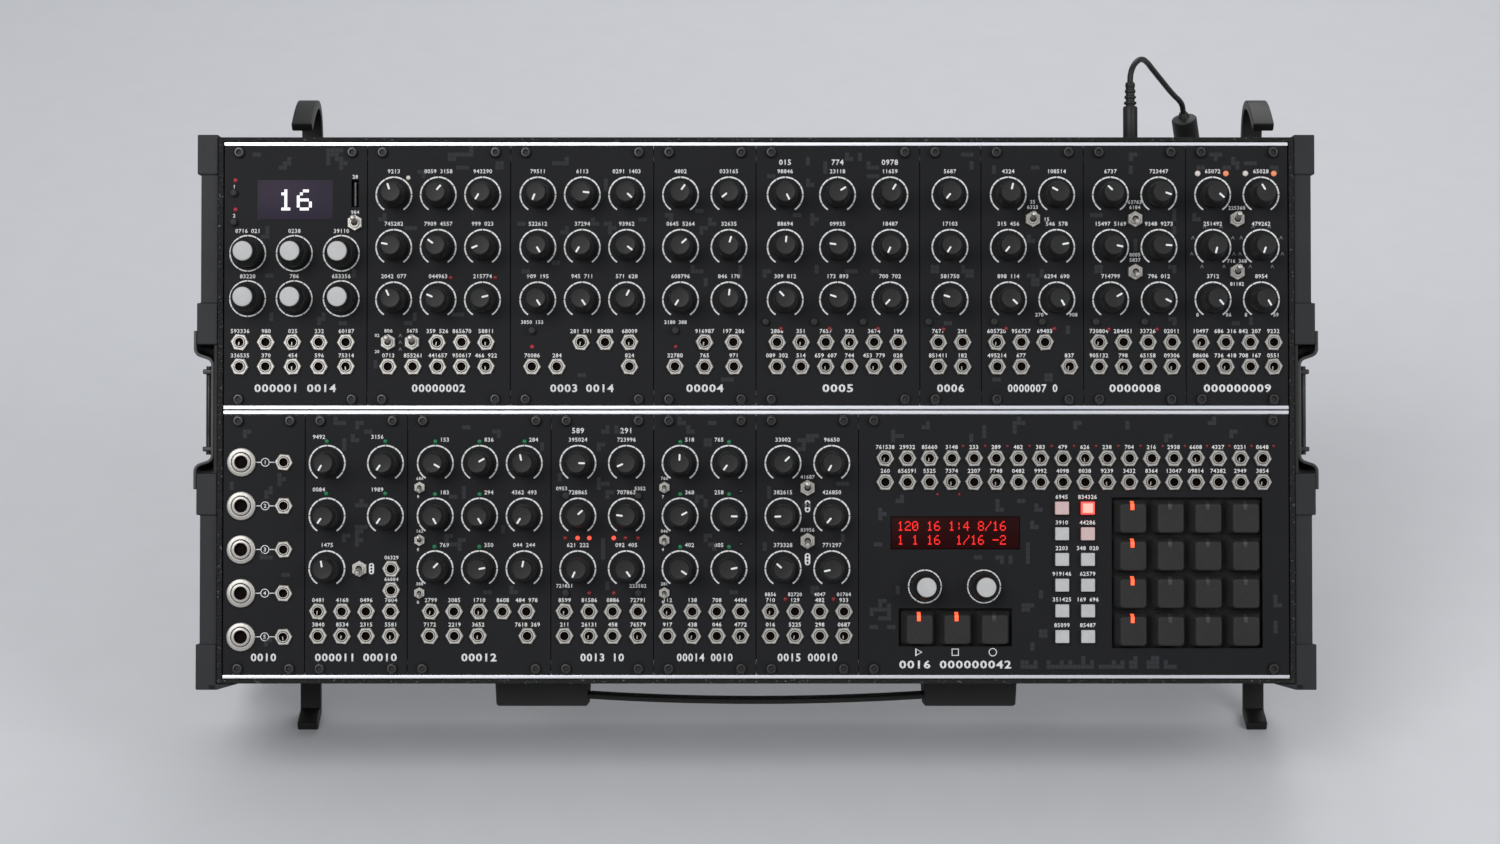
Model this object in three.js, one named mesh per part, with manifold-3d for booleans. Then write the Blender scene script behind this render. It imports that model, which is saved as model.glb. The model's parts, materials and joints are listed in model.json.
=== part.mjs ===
// A two-row modular synthesizer in its carrying case, leaning back on a folding stand.
// Millimetres. +X runs to the player's right, -Y points at the player and +Z is up.
// Inside the tilted group x runs along a row, y up the panels and z out of their faces,
// with its origin in the middle of the case, on the plane of the panels' faces.
import * as THREE from "three";
import { mergeVertices } from "three/addons/utils/BufferGeometryUtils.js";
import Module from "manifold-3d";

const wasm = await Module();
wasm.setup();

// Rack standard
const unitWidth = 5.08; // one horizontal unit
const unitsAcross = 104;
const panelHeight = 128.5;
const rowGap = 4.85; // between the panels of one row and of the next
const rowPitch = panelHeight + rowGap;
const panelThickness = 2;
const screwEdge = 3; // from a panel's edge to its screws
const screwSpacing = panelHeight - 2 * screwEdge;
const screwInset = 7.5;

// Clearances
const fit = 0.3; // between pieces that touch
const runningFit = 0.4; // round what turns or slides
const overrun = 1; // a cutter passes the face it opens by this much
const weld = 0.2; // joined solids sink into each other by this much

// Case
const tiltBack = 30; // degrees from upright
const caseDepth = 100;
const caseWall = 2.1;
const caseSideWall = 2.5;
const caseBackWall = 2.4;
const caseRim = 0.8; // how far the walls stand proud of the panels

// Rails
const railBodyHeight = 9.3;
const railBodyDepth = 10;
const railProud = 0.3;
const railGrooveWidth = 3.4;
const railGrooveDepth = 6;

// Moulded side cheeks
const cheekThickness = 8.6;
const cheekBumpRise = 1.7;
const cheekFootInset = 10.3;
const cheekFootDrop = 3.2;
const cheekFootDepth = 60;
const cheekRecessDepth = 6.6;
const cheekTopRise = 1.4;
const bumpHeight = 20.6;
const bumpSlope = 1.2;
const bumpSpacingShare = 0.6344; // of the row pitch
const bumpSteps = [1.5, 0.5, -0.5, -1.5];
const bumpShift = -1;

// Folded sheet dish and its bail, one in each cheek
const dishSheet = 1.5;
const dishHalfShare = 0.2955; // these two of the row pitch
const dishFloorHalfShare = 0.168;
const dishBendHeight = 5.4;
const bendPieces = 5;
const dishDrop = 8.6;
const dishFront = 2;
const dishDepth = 68;
const bailRod = 3;
const bailHalfShare = 0.1215; // of the row pitch
const bailReach = 48;
const bailPivotSetback = 12;
const bailPinLength = 4.4;
const bailEarHeight = 2.4;
const bailEarLength = 8;
const bailOffset = 2.6; // rod axis above the dish floor

// Carrying strap
const strapCapLength = 47.5;
const strapCapInner = 84;
const strapCapHeight = 13;
const strapCapChamfer = 4;
const strapWidth = 25;
const strapSetback = 30;
const strapThickness = 2.6;
const strapEnd = 8.4; // under the case bottom, where the band enters a cap
const strapSag = 2.6;
const strapTuck = 6;
const sagPieces = 10;

// Stand
const armBar = 4.6;
const armWidth = 10.8;
const armLeftPlace = -235;
const armRightPlace = 262.9;
const hookCrestRise = 28.6; // over the case top
const hookNoseRise = 12.4;
const hookNoseSetback = 63;
const hookCrestSetback = 93;
const hookPieces = 10;
const toeLength = 14.5;
const toeRise = 21; // from the case bottom down to where the toe bends
const ledgeLength = 30;
const ledgeThickness = 4;
const ledgeWidth = 7.6;
const lugThickness = 4;
const lugHeight = 14;
const pivotHeight = 60;
const pivotSetback = 9.5; // behind the case back
const pinRadius = 3;
const pinHeadRadius = 4.6;
const pinHeadThickness = 1.6;
const legWidth = 12;
const legThickness = 4;
const legLean = 14; // degrees from upright
const barRadius = 4;
const barHeight = 14;

// Power lead
const plugPlace = 191;
const plugSetback = 40;
const plugRadius = 3.7;
const plugTipRadius = 2.75;
const plugTipLength = 8;
const plugBodyLength = 20.4;
const plugRibCount = 4;
const plugRibRadius = 3.2;
const plugNeckRadius = 2.3;
const plugReliefLength = 12;
const cordDiameter = 3;
const cordSteps = 16;
const cordSegments = 4;
const socketRadius = 6.7;
const socketLength = 44;
const socketShoulder = 1;
const socketNeckRadius = 3;
const socketNeckLength = 2.5;
const socketLean = -11.5; // degrees, as the cord holds it

// Power board
const busBoardWidth = 470;
const busBoardHeight = 70;
const busBoardThickness = 1.6;
const busPost = 6;
const busPostHeight = 5;
const busHeaderCount = 9;
const busHeader = [9, 34, 9];

// Module boards, behind every panel
const boardSetback = 11;
const boardThickness = 1.6;
const boardEdge = 11.75; // above and below, inside the panel's own edges
const boardHeight = panelHeight - 2 * boardEdge;
const boardInset = 2;
const bankInset = 3.5;
const bankEdge = 8.2;
const rearHeader = [9, 24, 9];

// Places and sizes that grow with the panels, as shares of a panel's height
const heightShares = {
  knobRowTop: 0.31284,
  knobRowPitch: 0.20311,
  jackRowTop: -0.25759,
  jackRowPitch: 0.09416,
  triggerRow: -0.17899,
  padRow: -0.21245,
  largeJackPitch: 0.16809,
  largeJackTop: 0.31673,
  samplerWindowHeight: 0.29261,
  samplerEncoderRow: 0.08638,
  samplerEncoderPitch: 0.1751,
  cardSlotHeight: 0.31751,
  samplerButtonHeight: 0.31984,
  samplerButtonPitch: 0.11362,
  samplerToggleHeight: 0.20389,
  upperToggleRow: 0.2179,
  lowerToggleRow: 0.01401,
  sideToggleRow: 0.21946,
  sideTogglePitch: 0.20311,
  buttonPairRow: 0.18677,
  mixerOutRow: -0.17588,
  sequencerJackRow: 0.3323,
  sequencerJackRowPitch: 0.09183,
  displayHeight: 0.04436,
  sequencerEncoderRow: -0.16187,
  keyPitch: 0.14475,
  keyBase: 0.1323,
  keyTop: 0.10584,
  stepRecessHeight: -0.10895,
  transportHeight: -0.31907,
  squareButtonTop: 0.14008,
  squareButtonPitch: 0.09883,
};

// Rows of controls, from a panel's middle
const knobRowTop = heightShares.knobRowTop * panelHeight;
const knobRowPitch = heightShares.knobRowPitch * panelHeight;
const jackRowTop = heightShares.jackRowTop * panelHeight;
const jackRowPitch = heightShares.jackRowPitch * panelHeight;
const triggerRow = heightShares.triggerRow * panelHeight;
const padRow = heightShares.padRow * panelHeight;

// Controls
const knobSides = 8;
const knobRadius = 6.5;
const knobTopRadius = 4.9;
const knobSkirt = 5;
const knobHeight = 16.5;
const pointerLength = 3.3;
const pointerWidth = 0.9;
const pointerRise = 0.25;
const pointerInset = 0.5;
const shaftRadius = 3;
const shaftDepth = 7;
const encoderRadius = 7;
const encoderSkirt = 10;
const nutSides = 6;
const nutRadius = 4.5;
const nutHeight = 1.8;
const boreSides = 4;
const boreRadius = 2.1;
const boreDepth = 8;
const largeNutRadius = 7.1;
const largeNutHeight = 2.4;
const largeBoreRadius = 3.5;
const largeJackPitch = heightShares.largeJackPitch * panelHeight;
const largeJackTop = heightShares.largeJackTop * panelHeight;
const screwSides = 5;
const screwRadius = 2.75;
const screwHeight = 2.4;
const triggerRadius = 1.8;
const triggerHeight = 2.6;
const toggleNutRadius = 4.1;
const toggleNutHeight = 2.6;
const toggleBoreRadius = 2.3;
const toggleLeverRadius = 1.2;
const toggleTipRadius = 1.5;
const toggleLeverLength = 9.5;
const toggleTilt = 13; // degrees either way
const smallToggleShare = 0.72;

// Sampler
const samplerWindow = [37.5, 19.9, 0.5];
const samplerWindowHeight = heightShares.samplerWindowHeight * panelHeight;
const samplerEncoderRow = heightShares.samplerEncoderRow * panelHeight;
const samplerEncoderPitch = heightShares.samplerEncoderPitch * panelHeight;
const cardSlot = [3.8, 13.6, 6];
const cardSlotHeight = heightShares.cardSlotHeight * panelHeight;
const samplerButtonHeight = heightShares.samplerButtonHeight * panelHeight;
const samplerButtonPitch = heightShares.samplerButtonPitch * panelHeight;
const samplerToggleHeight = heightShares.samplerToggleHeight * panelHeight;

// Toggle and button places shared by several panels
const upperToggleRow = heightShares.upperToggleRow * panelHeight;
const lowerToggleRow = heightShares.lowerToggleRow * panelHeight;
const sideToggleRow = heightShares.sideToggleRow * panelHeight;
const sideTogglePitch = heightShares.sideTogglePitch * panelHeight;
const buttonPairRow = heightShares.buttonPairRow * panelHeight;
const mixerOutRow = heightShares.mixerOutRow * panelHeight;

// Sequencer
const sequencerJackCount = 18;
const sequencerJackPitch = 11;
const sequencerJackRow = heightShares.sequencerJackRow * panelHeight;
const sequencerJackRowPitch = heightShares.sequencerJackRowPitch * panelHeight;
const displayWindow = [63.5, 15.7, 3];
const displayHeight = heightShares.displayHeight * panelHeight;
const displayProud = 0.4;
const sequencerEncoderRow = heightShares.sequencerEncoderRow * panelHeight;
const keyPitch = heightShares.keyPitch * panelHeight;
const keyBase = heightShares.keyBase * panelHeight;
const keyTop = heightShares.keyTop * panelHeight;
const keyHeight = 5.6; // of a keycap
const keyProud = 3.5; // keycap tops above the panel
const keyTravel = 3.2;
const keyMargin = 0.9; // from the outer keys to the edge of their recess
const recessDepth = 6.6;
const keyStem = 4;
const keyStemDepth = 3.6;
const stepKeyCount = 4;
const stepRecessHeight = heightShares.stepRecessHeight * panelHeight;
const transportKeyCount = 3;
const transportHeight = heightShares.transportHeight * panelHeight;
const squareButton = [6.8, 6.4, 2.4];
const squareButtonRows = 6;
const squareButtonPitch = heightShares.squareButtonPitch * panelHeight;
const squareButtonTop = heightShares.squareButtonTop * panelHeight;
const squareButtonDepth = 4;
const squareButtonTravel = 0.6;

// Each module: its width in units, and its columns of controls as shares of that width.
// live names the column and row of the knob that is a piece of its own, and where it points,
// in degrees clockwise from the top.
const upperRow = [
  {
    name: "sampler",
    units: 14,
    encoderShares: [0.166, 0.491, 0.819],
    jackShares: [
      [0.114, 0.296, 0.482, 0.667, 0.855],
      [0.114, 0.296, 0.482, 0.667, 0.855],
    ],
    buttonShares: [
      [0.07, samplerButtonHeight],
      [0.07, samplerButtonHeight - samplerButtonPitch],
    ],
    toggleShares: [[0.915, samplerToggleHeight]],
    windowShare: 0.496,
    slotShare: 0.915,
    live: { column: 0, row: 0, pointer: 0 },
  },
  {
    name: "voice",
    units: 14,
    knobShares: [0.185, 0.495, 0.805],
    jackShares: [
      [0.49, 0.662, 0.831],
      [0.149, 0.322, 0.494, 0.661, 0.831],
    ],
    toggleShares: [
      [0.149, jackRowTop],
      [0.316, jackRowTop],
    ],
    live: { column: 0, row: 0, pointer: -18 },
  },
  {
    name: "drum",
    units: 14,
    knobShares: [0.191, 0.501, 0.811],
    jackShares: [
      [0.494, 0.662, 0.832],
      [0.152, 0.326, 0.832],
    ],
    buttonShares: [[0.152, padRow]],
    live: { column: 1, row: 0, pointer: 96 },
  },
  {
    name: "filter",
    units: 10,
    knobShares: [0.262, 0.735],
    jackShares: [
      [0.497, 0.778],
      [0.209, 0.497, 0.784],
    ],
    buttonShares: [[0.213, padRow]],
    live: { column: 0, row: 0, pointer: 37 },
  },
  {
    name: "envelope",
    units: 16,
    knobShares: [0.178, 0.498, 0.818],
    jackShares: [
      [0.128, 0.274, 0.425, 0.57, 0.72, 0.866],
      [0.128, 0.274, 0.425, 0.57, 0.72, 0.866],
    ],
    buttonShares: [
      [0.059, triggerRow],
      [0.356, triggerRow],
      [0.653, triggerRow],
    ],
    live: { column: 1, row: 0, pointer: 58 },
    liveButton: 0,
  },
  {
    name: "gate",
    units: 6,
    knobShares: [0.492],
    jackShares: [
      [0.298, 0.692],
      [0.298, 0.692],
    ],
    buttonShares: [[0.141, triggerRow]],
    live: { column: 0, row: 2, pointer: -73 },
  },
  {
    name: "slope",
    units: 10,
    knobShares: [0.266, 0.739],
    jackShares: [
      [0.149, 0.388, 0.619],
      [0.153, 0.388, 0.859],
    ],
    buttonShares: [
      [0.125, triggerRow],
      [0.593, triggerRow],
    ],
    toggleShares: [[0.504, upperToggleRow]],
    live: { column: 0, row: 0, pointer: 14 },
  },
  {
    name: "burst",
    units: 10,
    knobShares: [0.265, 0.738],
    jackShares: [
      [0.148, 0.385, 0.626, 0.86],
      [0.148, 0.385, 0.626, 0.86],
    ],
    buttonShares: [
      [0.118, triggerRow],
      [0.591, triggerRow],
    ],
    toggleShares: [
      [0.503, upperToggleRow],
      [0.503, lowerToggleRow],
    ],
    live: { column: 0, row: 0, pointer: -47 },
  },
  {
    name: "wave",
    units: 10,
    knobShares: [0.265, 0.737],
    jackShares: [
      [0.142, 0.383, 0.623, 0.852],
      [0.142, 0.383, 0.623, 0.852],
    ],
    toggleShares: [
      [0.5, upperToggleRow],
      [0.5, lowerToggleRow],
    ],
    live: { column: 1, row: 0, pointer: -31 },
    liveToggle: 0,
  },
];
const lowerRow = [
  {
    name: "link",
    units: 8,
    largeJackShare: 0.227,
    smallJackShare: 0.744,
    largeJackCount: 5,
  },
  {
    name: "mixer",
    units: 10,
    knobShares: [0.215, 0.784],
    missing: [[1, 2]],
    jackShares: [
      [0.133, 0.366, 0.601, 0.841],
      [0.133, 0.366, 0.601, 0.841],
    ],
    extraJackShares: [
      [0.845, knobRowTop - 2 * knobRowPitch],
      [0.845, mixerOutRow],
    ],
    toggleShares: [[0.535, knobRowTop - 2 * knobRowPitch]],
    live: { column: 0, row: 2, pointer: -9 },
  },
  {
    name: "shaper",
    units: 14,
    knobShares: [0.193, 0.502, 0.813],
    jackShares: [
      [0.164, 0.327, 0.501, 0.665, 0.831],
      [0.157, 0.33, 0.494, 0.837],
    ],
    smallToggleShares: [
      [0.085, sideToggleRow],
      [0.085, sideToggleRow - sideTogglePitch],
      [0.085, sideToggleRow - 2 * sideTogglePitch],
    ],
    live: { column: 1, row: 0, pointer: 60 },
  },
  {
    name: "switch",
    units: 10,
    knobShares: [0.262, 0.735],
    jackShares: [
      [0.134, 0.374, 0.604, 0.849],
      [0.134, 0.374, 0.604, 0.849],
    ],
    buttonShares: [
      [0.145, buttonPairRow],
      [0.852, buttonPairRow],
      [0.145, -buttonPairRow],
      [0.852, -buttonPairRow],
    ],
    live: { column: 0, row: 0, pointer: 92 },
  },
  {
    name: "level",
    units: 10,
    knobShares: [0.259, 0.735],
    jackShares: [
      [0.137, 0.379, 0.618, 0.849],
      [0.137, 0.379, 0.618, 0.849],
    ],
    smallToggleShares: [
      [0.106, sideToggleRow],
      [0.106, sideToggleRow - sideTogglePitch],
      [0.106, sideToggleRow - 2 * sideTogglePitch],
    ],
    live: { column: 0, row: 0, pointer: 2 },
  },
  {
    name: "delay",
    units: 10,
    knobShares: [0.263, 0.739],
    jackShares: [
      [0.14, 0.379, 0.621, 0.856],
      [0.14, 0.379, 0.621, 0.856],
    ],
    toggleShares: [
      [0.502, upperToggleRow],
      [0.502, lowerToggleRow],
    ],
    live: { column: 0, row: 0, pointer: 44 },
  },
  {
    name: "sequencer",
    units: 42,
    firstJackShare: 0.0618,
    displayShare: 0.2246,
    dialShares: [0.1539, 0.2911],
    transportShare: 0.224,
    squareShares: [0.4718, 0.5317],
    stepShare: 0.7626,
    screwShares: [0.035, 0.962],
  },
];

// Worked out from the sizes above
const halfRow = (unitsAcross * unitWidth) / 2;
const upperMiddle = rowPitch / 2;
const lowerMiddle = -rowPitch / 2;
const sideInner = halfRow + fit;
const sideOuter = sideInner + caseSideWall;
const caseInner = rowPitch;
const caseOuter = caseInner + caseWall;
const backInner = -caseDepth + caseBackWall;
const bumpSpacing = bumpSpacingShare * rowPitch;
const dishHalfHeight = dishHalfShare * rowPitch;
const dishFloorHalfHeight = dishFloorHalfShare * rowPitch;
const bailHalfHeight = bailHalfShare * rowPitch;
const cheekInner = sideOuter + fit;
const cheekOuter = cheekInner + cheekThickness;
const bumpOuter = cheekOuter + cheekBumpRise;
const radians = THREE.MathUtils.degToRad;

const shades = {
  textured: { color: 0x1b1b1d, roughness: 0.72, metalness: 0 },
  moulded: { color: 0x2a2c30, roughness: 0.6, metalness: 0 },
  rail: { color: 0xc9cacc, roughness: 0.3, metalness: 1 },
  sheet: { color: 0x2b2c2e, roughness: 0.45, metalness: 0.8 },
  steel: { color: 0x8d8f92, roughness: 0.35, metalness: 1 },
  strap: { color: 0x151516, roughness: 0.8, metalness: 0 },
  panel: { color: 0x232428, roughness: 0.5, metalness: 0.1 },
  knob: { color: 0x17181a, roughness: 0.55, metalness: 0 },
  encoder: { color: 0xa5aaaf, roughness: 0.5, metalness: 0 },
  board: { color: 0x14442f, roughness: 0.5, metalness: 0 },
  lens: { color: 0x5a0d10, roughness: 0.15, metalness: 0 },
  key: { color: 0x303032, roughness: 0.6, metalness: 0 },
  frosted: { color: 0xbebec2, roughness: 0.5, metalness: 0 },
  nickel: { color: 0xc8c4bc, roughness: 0.25, metalness: 1 },
  lead: { color: 0x121213, roughness: 0.6, metalness: 0 },
};

const group = new THREE.Group();
const tilted = new THREE.Group();
tilted.rotation.x = radians(90 - tiltBack);
group.add(tilted);

function place(parent, name, geometry, shade) {
  const mesh = new THREE.Mesh(geometry, new THREE.MeshStandardMaterial(shades[shade]));
  mesh.name = name;
  parent.add(mesh);
  return mesh;
}

// Solids

function solidOf(geometry) {
  const bare = geometry.clone();
  bare.deleteAttribute("normal");
  bare.deleteAttribute("uv");
  const merged = mergeVertices(bare);
  const corners = merged.index.array;
  const whole = [];
  for (let i = 0; i < corners.length; i += 3) {
    const [a, b, c] = corners.slice(i, i + 3);
    if (a !== b && b !== c && a !== c) whole.push(a, b, c);
  }
  const vertProperties = merged.attributes.position.array;
  return new wasm.Manifold(
    new wasm.Mesh({ numProp: 3, vertProperties, triVerts: new Uint32Array(whole) }),
  );
}

function geometryOf(solid) {
  const { vertProperties, triVerts } = solid.getMesh();
  const geometry = new THREE.BufferGeometry();
  geometry.setAttribute("position", new THREE.BufferAttribute(vertProperties, 3));
  geometry.setIndex(new THREE.BufferAttribute(triVerts, 1));
  geometry.computeVertexNormals();
  return geometry;
}

const joined = (solids) => solids.reduce((sum, solid) => sum.add(solid));
const cut = (solid, cutters) => cutters.reduce((left, cutter) => left.subtract(cutter), solid);

function boxBetween([x0, x1], [y0, y1], [z0, z1]) {
  const box = new THREE.BoxGeometry(x1 - x0, y1 - y0, z1 - z0);
  return solidOf(box.translate((x0 + x1) / 2, (y0 + y1) / 2, (z0 + z1) / 2));
}

// A turned shape round the panel's normal at x, y: its profile lists [radius, height] from
// the back to the front, without the two points on the axis.
function turned(profile, x, y, sides) {
  const first = profile[0];
  const last = profile[profile.length - 1];
  const points = [[0, first[1]], ...profile, [0, last[1]]].map(([r, h]) => new THREE.Vector2(r, h));
  const lathe = new THREE.LatheGeometry(points, sides).rotateX(Math.PI / 2);
  return solidOf(lathe.translate(x, y, 0));
}

const post = (radius, z0, z1, x, y, sides) =>
  turned(
    [
      [radius, z0],
      [radius, z1],
    ],
    x,
    y,
    sides,
  );

// A block whose top is smaller than its base.
function tapered([baseX, baseY], [topX, topY], [z0, z1], x, y) {
  const block = new THREE.BoxGeometry(1, 1, z1 - z0).translate(0, 0, (z0 + z1) / 2);
  const corners = block.attributes.position;
  for (let i = 0; i < corners.count; i += 1) {
    const top = corners.getZ(i) > (z0 + z1) / 2;
    corners.setX(i, corners.getX(i) * (top ? topX : baseX));
    corners.setY(i, corners.getY(i) * (top ? topY : baseY));
  }
  return solidOf(block.translate(x, y, 0));
}

// An outline in the plane of the panels, from one depth to another.
function frontOutline(points, [z0, z1]) {
  const shape = new THREE.Shape(points.map(([x, y]) => new THREE.Vector2(x, y)));
  const body = new THREE.ExtrudeGeometry(shape, { depth: z1 - z0, bevelEnabled: false });
  return solidOf(body.translate(0, 0, z0));
}

// An outline of [height, z] points seen from the side, across a width centred on x.
function sideOutline(points, width, x) {
  const shape = new THREE.Shape(points.map(([y, z]) => new THREE.Vector2(-z, y)));
  const body = new THREE.ExtrudeGeometry(shape, { depth: width, bevelEnabled: false });
  return solidOf(body.rotateY(Math.PI / 2).translate(x - width / 2, 0, 0));
}

// The outline of a bar or sheet of even thickness that follows a centre line.
function barOutline(line, thickness) {
  const direction = (from, to) => {
    const [a, b] = [to[0] - from[0], to[1] - from[1]];
    return [a / Math.hypot(a, b), b / Math.hypot(a, b)];
  };
  const last = line.length - 1;
  const offset = (side) =>
    line.map((here, i) => {
      const arriving = direction(line[Math.max(i - 1, 0)], line[Math.max(i, 1)]);
      const leaving = direction(line[Math.min(i, last - 1)], line[Math.min(i + 1, last)]);
      const middle = direction([0, 0], [arriving[0] + leaving[0], arriving[1] + leaving[1]]);
      const spread = middle[0] * leaving[0] + middle[1] * leaving[1];
      const reach = (side * thickness) / 2 / spread;
      return [here[0] - middle[1] * reach, here[1] + middle[0] * reach];
    });
  return [...offset(1), ...offset(-1).reverse()];
}

const curvePoints = (curve, pieces) => curve.getPoints(pieces).map((point) => [point.x, point.y]);

// Case, rails and cheeks

function caseShell() {
  const shell = boxBetween(
    [-sideOuter, sideOuter],
    [-caseOuter, caseOuter],
    [-caseDepth, caseRim],
  );
  const room = boxBetween(
    [-sideInner, sideInner],
    [-caseInner, caseInner],
    [backInner, caseRim + overrun],
  );
  const inlet = solidOf(
    new THREE.CylinderGeometry(
      plugTipRadius + runningFit,
      plugTipRadius + runningFit,
      caseWall + 2 * overrun,
      knobSides,
    ).translate(plugPlace, caseInner + caseWall / 2, -plugSetback),
  );
  return cut(shell, [room, inlet]);
}

// One aluminium rail: a lip that shows beside the panels' edges, and a grooved body behind.
function rail(middle, side) {
  const outer = rowPitch / 2 - fit;
  const lipInner = panelHeight / 2 + fit;
  const bodyInner = outer - railBodyHeight;
  const front = -panelThickness - fit;
  const back = front - railBodyDepth;
  const grooveMiddle = screwSpacing / 2;
  const outline = [
    [outer, back],
    [outer, railProud],
    [lipInner, railProud],
    [lipInner, front],
    [grooveMiddle + railGrooveWidth / 2, front],
    [grooveMiddle + railGrooveWidth / 2, front - railGrooveDepth],
    [grooveMiddle - railGrooveWidth / 2, front - railGrooveDepth],
    [grooveMiddle - railGrooveWidth / 2, front],
    [bodyInner, front],
    [bodyInner, back],
  ];
  return sideOutline(
    outline.map(([y, z]) => [middle + side * y, z]),
    2 * halfRow,
    0,
  );
}

// A cheek seen from the front: its flat outer side carries four bumps, and a shallow recess
// for the dish is cut between the middle two.
function cheek(side) {
  const top = caseOuter + cheekTopRise;
  const bottom = -caseOuter - cheekFootDrop;
  const bumps = bumpSteps.map((step) => step * bumpSpacing + bumpShift);
  const recessFloor = cheekOuter - cheekRecessDepth;
  const recessTop = dishFloorHalfHeight + dishBendHeight;
  const outer = [];
  bumps.forEach((middle, index) => {
    const high = index === 0 ? top : middle + bumpHeight / 2;
    const low = index === bumps.length - 1 ? bottom : middle - bumpHeight / 2;
    if (index > 0) outer.push([cheekOuter, high + bumpSlope]);
    outer.push([bumpOuter, high], [bumpOuter, low]);
    if (index < bumps.length - 1) outer.push([cheekOuter, low - bumpSlope]);
    if (index === 1) {
      outer.push([cheekOuter, recessTop], [recessFloor, recessTop - bumpSlope]);
      outer.push([recessFloor, bumpSlope - recessTop], [cheekOuter, -recessTop]);
    }
  });
  const outline = [[cheekInner, top], ...outer, [cheekInner, bottom]];
  const wall = frontOutline(
    outline.map(([x, y]) => [side * x, y]),
    [-caseDepth, -fit],
  );
  const underCase = -caseOuter - fit;
  const foot = frontOutline(
    [
      [cheekInner + cheekThickness / 2, underCase],
      [cheekInner + cheekThickness / 2, bottom],
      [cheekInner, bottom],
      [cheekInner - cheekFootInset, underCase - weld],
      [cheekInner - cheekFootInset, underCase],
    ].map(([x, y]) => [side * x, y]),
    [-cheekFootDepth, -fit],
  );
  return wall.add(foot);
}

// Dish and bail

const dishFlange = bumpOuter + fit + dishSheet / 2;
const dishFloor = dishFlange - dishDrop;
const bailPlace = dishFloor + dishSheet / 2 + bailOffset;

function dish(side) {
  const bend = (from, to) =>
    curvePoints(
      new THREE.CubicBezierCurve(
        new THREE.Vector2(...from),
        new THREE.Vector2(from[0], (from[1] + to[1]) / 2),
        new THREE.Vector2(to[0], (from[1] + to[1]) / 2),
        new THREE.Vector2(...to),
      ),
      bendPieces,
    );
  const bendEnd = dishFloorHalfHeight + dishBendHeight;
  const line = [
    [dishFlange, dishHalfHeight],
    ...bend([dishFlange, bendEnd], [dishFloor, dishFloorHalfHeight]),
    ...bend([dishFloor, -dishFloorHalfHeight], [dishFlange, -bendEnd]),
    [dishFlange, -dishHalfHeight],
  ];
  const sheet = frontOutline(
    barOutline(line, dishSheet).map(([x, y]) => [side * x, y]),
    [-dishFront - dishDepth, -dishFront],
  );
  const ears = [1, -1].map((end) => {
    const inner = bailHalfHeight + bailRod / 2 + runningFit;
    const ear = boxBetween(
      [dishFloor, bailPlace + bailOffset + weld],
      [inner, inner + bailEarHeight],
      [-bailPivotSetback - bailEarLength / 2, -bailPivotSetback + bailEarLength / 2],
    ).subtract(pinAlongPanel(bailRod / 2 + runningFit, 0, caseInner, bailPlace, -bailPivotSetback));
    return ear.scale([side, end, 1]);
  });
  return joined([sheet, ...ears]);
}

// A round bar that runs up the panels.
function pinAlongPanel(radius, y0, y1, x, z) {
  const pin = new THREE.CylinderGeometry(radius, radius, y1 - y0, knobSides);
  return solidOf(pin.translate(x, (y0 + y1) / 2, z));
}

// The bail's ring hangs back from the two pins at its front bar.
function bail(side) {
  const half = bailRod / 2;
  const ring = (reach) =>
    boxBetween(
      [side * bailPlace - half, side * bailPlace + half],
      [-bailHalfHeight - reach, bailHalfHeight + reach],
      [-bailPivotSetback - bailReach - reach, -bailPivotSetback + reach],
    );
  const room = boxBetween(
    [side * bailPlace - bailRod, side * bailPlace + bailRod],
    [half - bailHalfHeight, bailHalfHeight - half],
    [half - bailPivotSetback - bailReach, -half - bailPivotSetback],
  );
  const pins = [-1, 1].map((end) => {
    const [from, to] = [bailHalfHeight, bailHalfHeight + half + bailPinLength].map((y) => end * y);
    const low = Math.min(from, to);
    return pinAlongPanel(half, low, low + Math.abs(to - from), side * bailPlace, -bailPivotSetback);
  });
  return joined([ring(half).subtract(room), ...pins]);
}

// Carrying strap under the case

const strapFront = -strapSetback;
const strapBack = strapFront - strapWidth;
const strapTop = -caseOuter - fit;

function strapLine() {
  const end = strapCapInner + strapTuck;
  const [y, x] = [-caseOuter - strapEnd, strapCapInner];
  const sag = new THREE.QuadraticBezierCurve(
    new THREE.Vector2(-x, y),
    new THREE.Vector2(0, y - 2 * strapSag),
    new THREE.Vector2(x, y),
  );
  return [[-end, y], ...curvePoints(sag, sagPieces), [end, y]];
}

const strapBand = () => frontOutline(barOutline(strapLine(), strapThickness), [strapBack, strapFront]);

function strapCap(side) {
  const [inner, outer] = [strapCapInner, strapCapInner + strapCapLength];
  const bottom = strapTop - strapCapHeight;
  const outline = [
    [inner, strapTop],
    [inner, bottom + strapCapChamfer],
    [inner + strapCapChamfer, bottom],
    [outer - strapCapChamfer, bottom],
    [outer, bottom + strapCapChamfer],
    [outer, strapTop],
  ];
  const body = frontOutline(
    outline.map(([x, y]) => [side * x, y]),
    [strapBack - strapThickness, strapFront + strapThickness],
  );
  const middle = -caseOuter - strapEnd;
  const slot = boxBetween(
    [inner - overrun, inner + strapTuck + fit].map((x) => side * x).sort((a, b) => a - b),
    [middle - strapThickness / 2 - fit, middle + strapThickness / 2 + fit],
    [strapBack - fit, strapFront + fit],
  );
  return body.subtract(slot);
}

// Stand: two hooked arms behind the case, and a frame that folds out behind them

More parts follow.
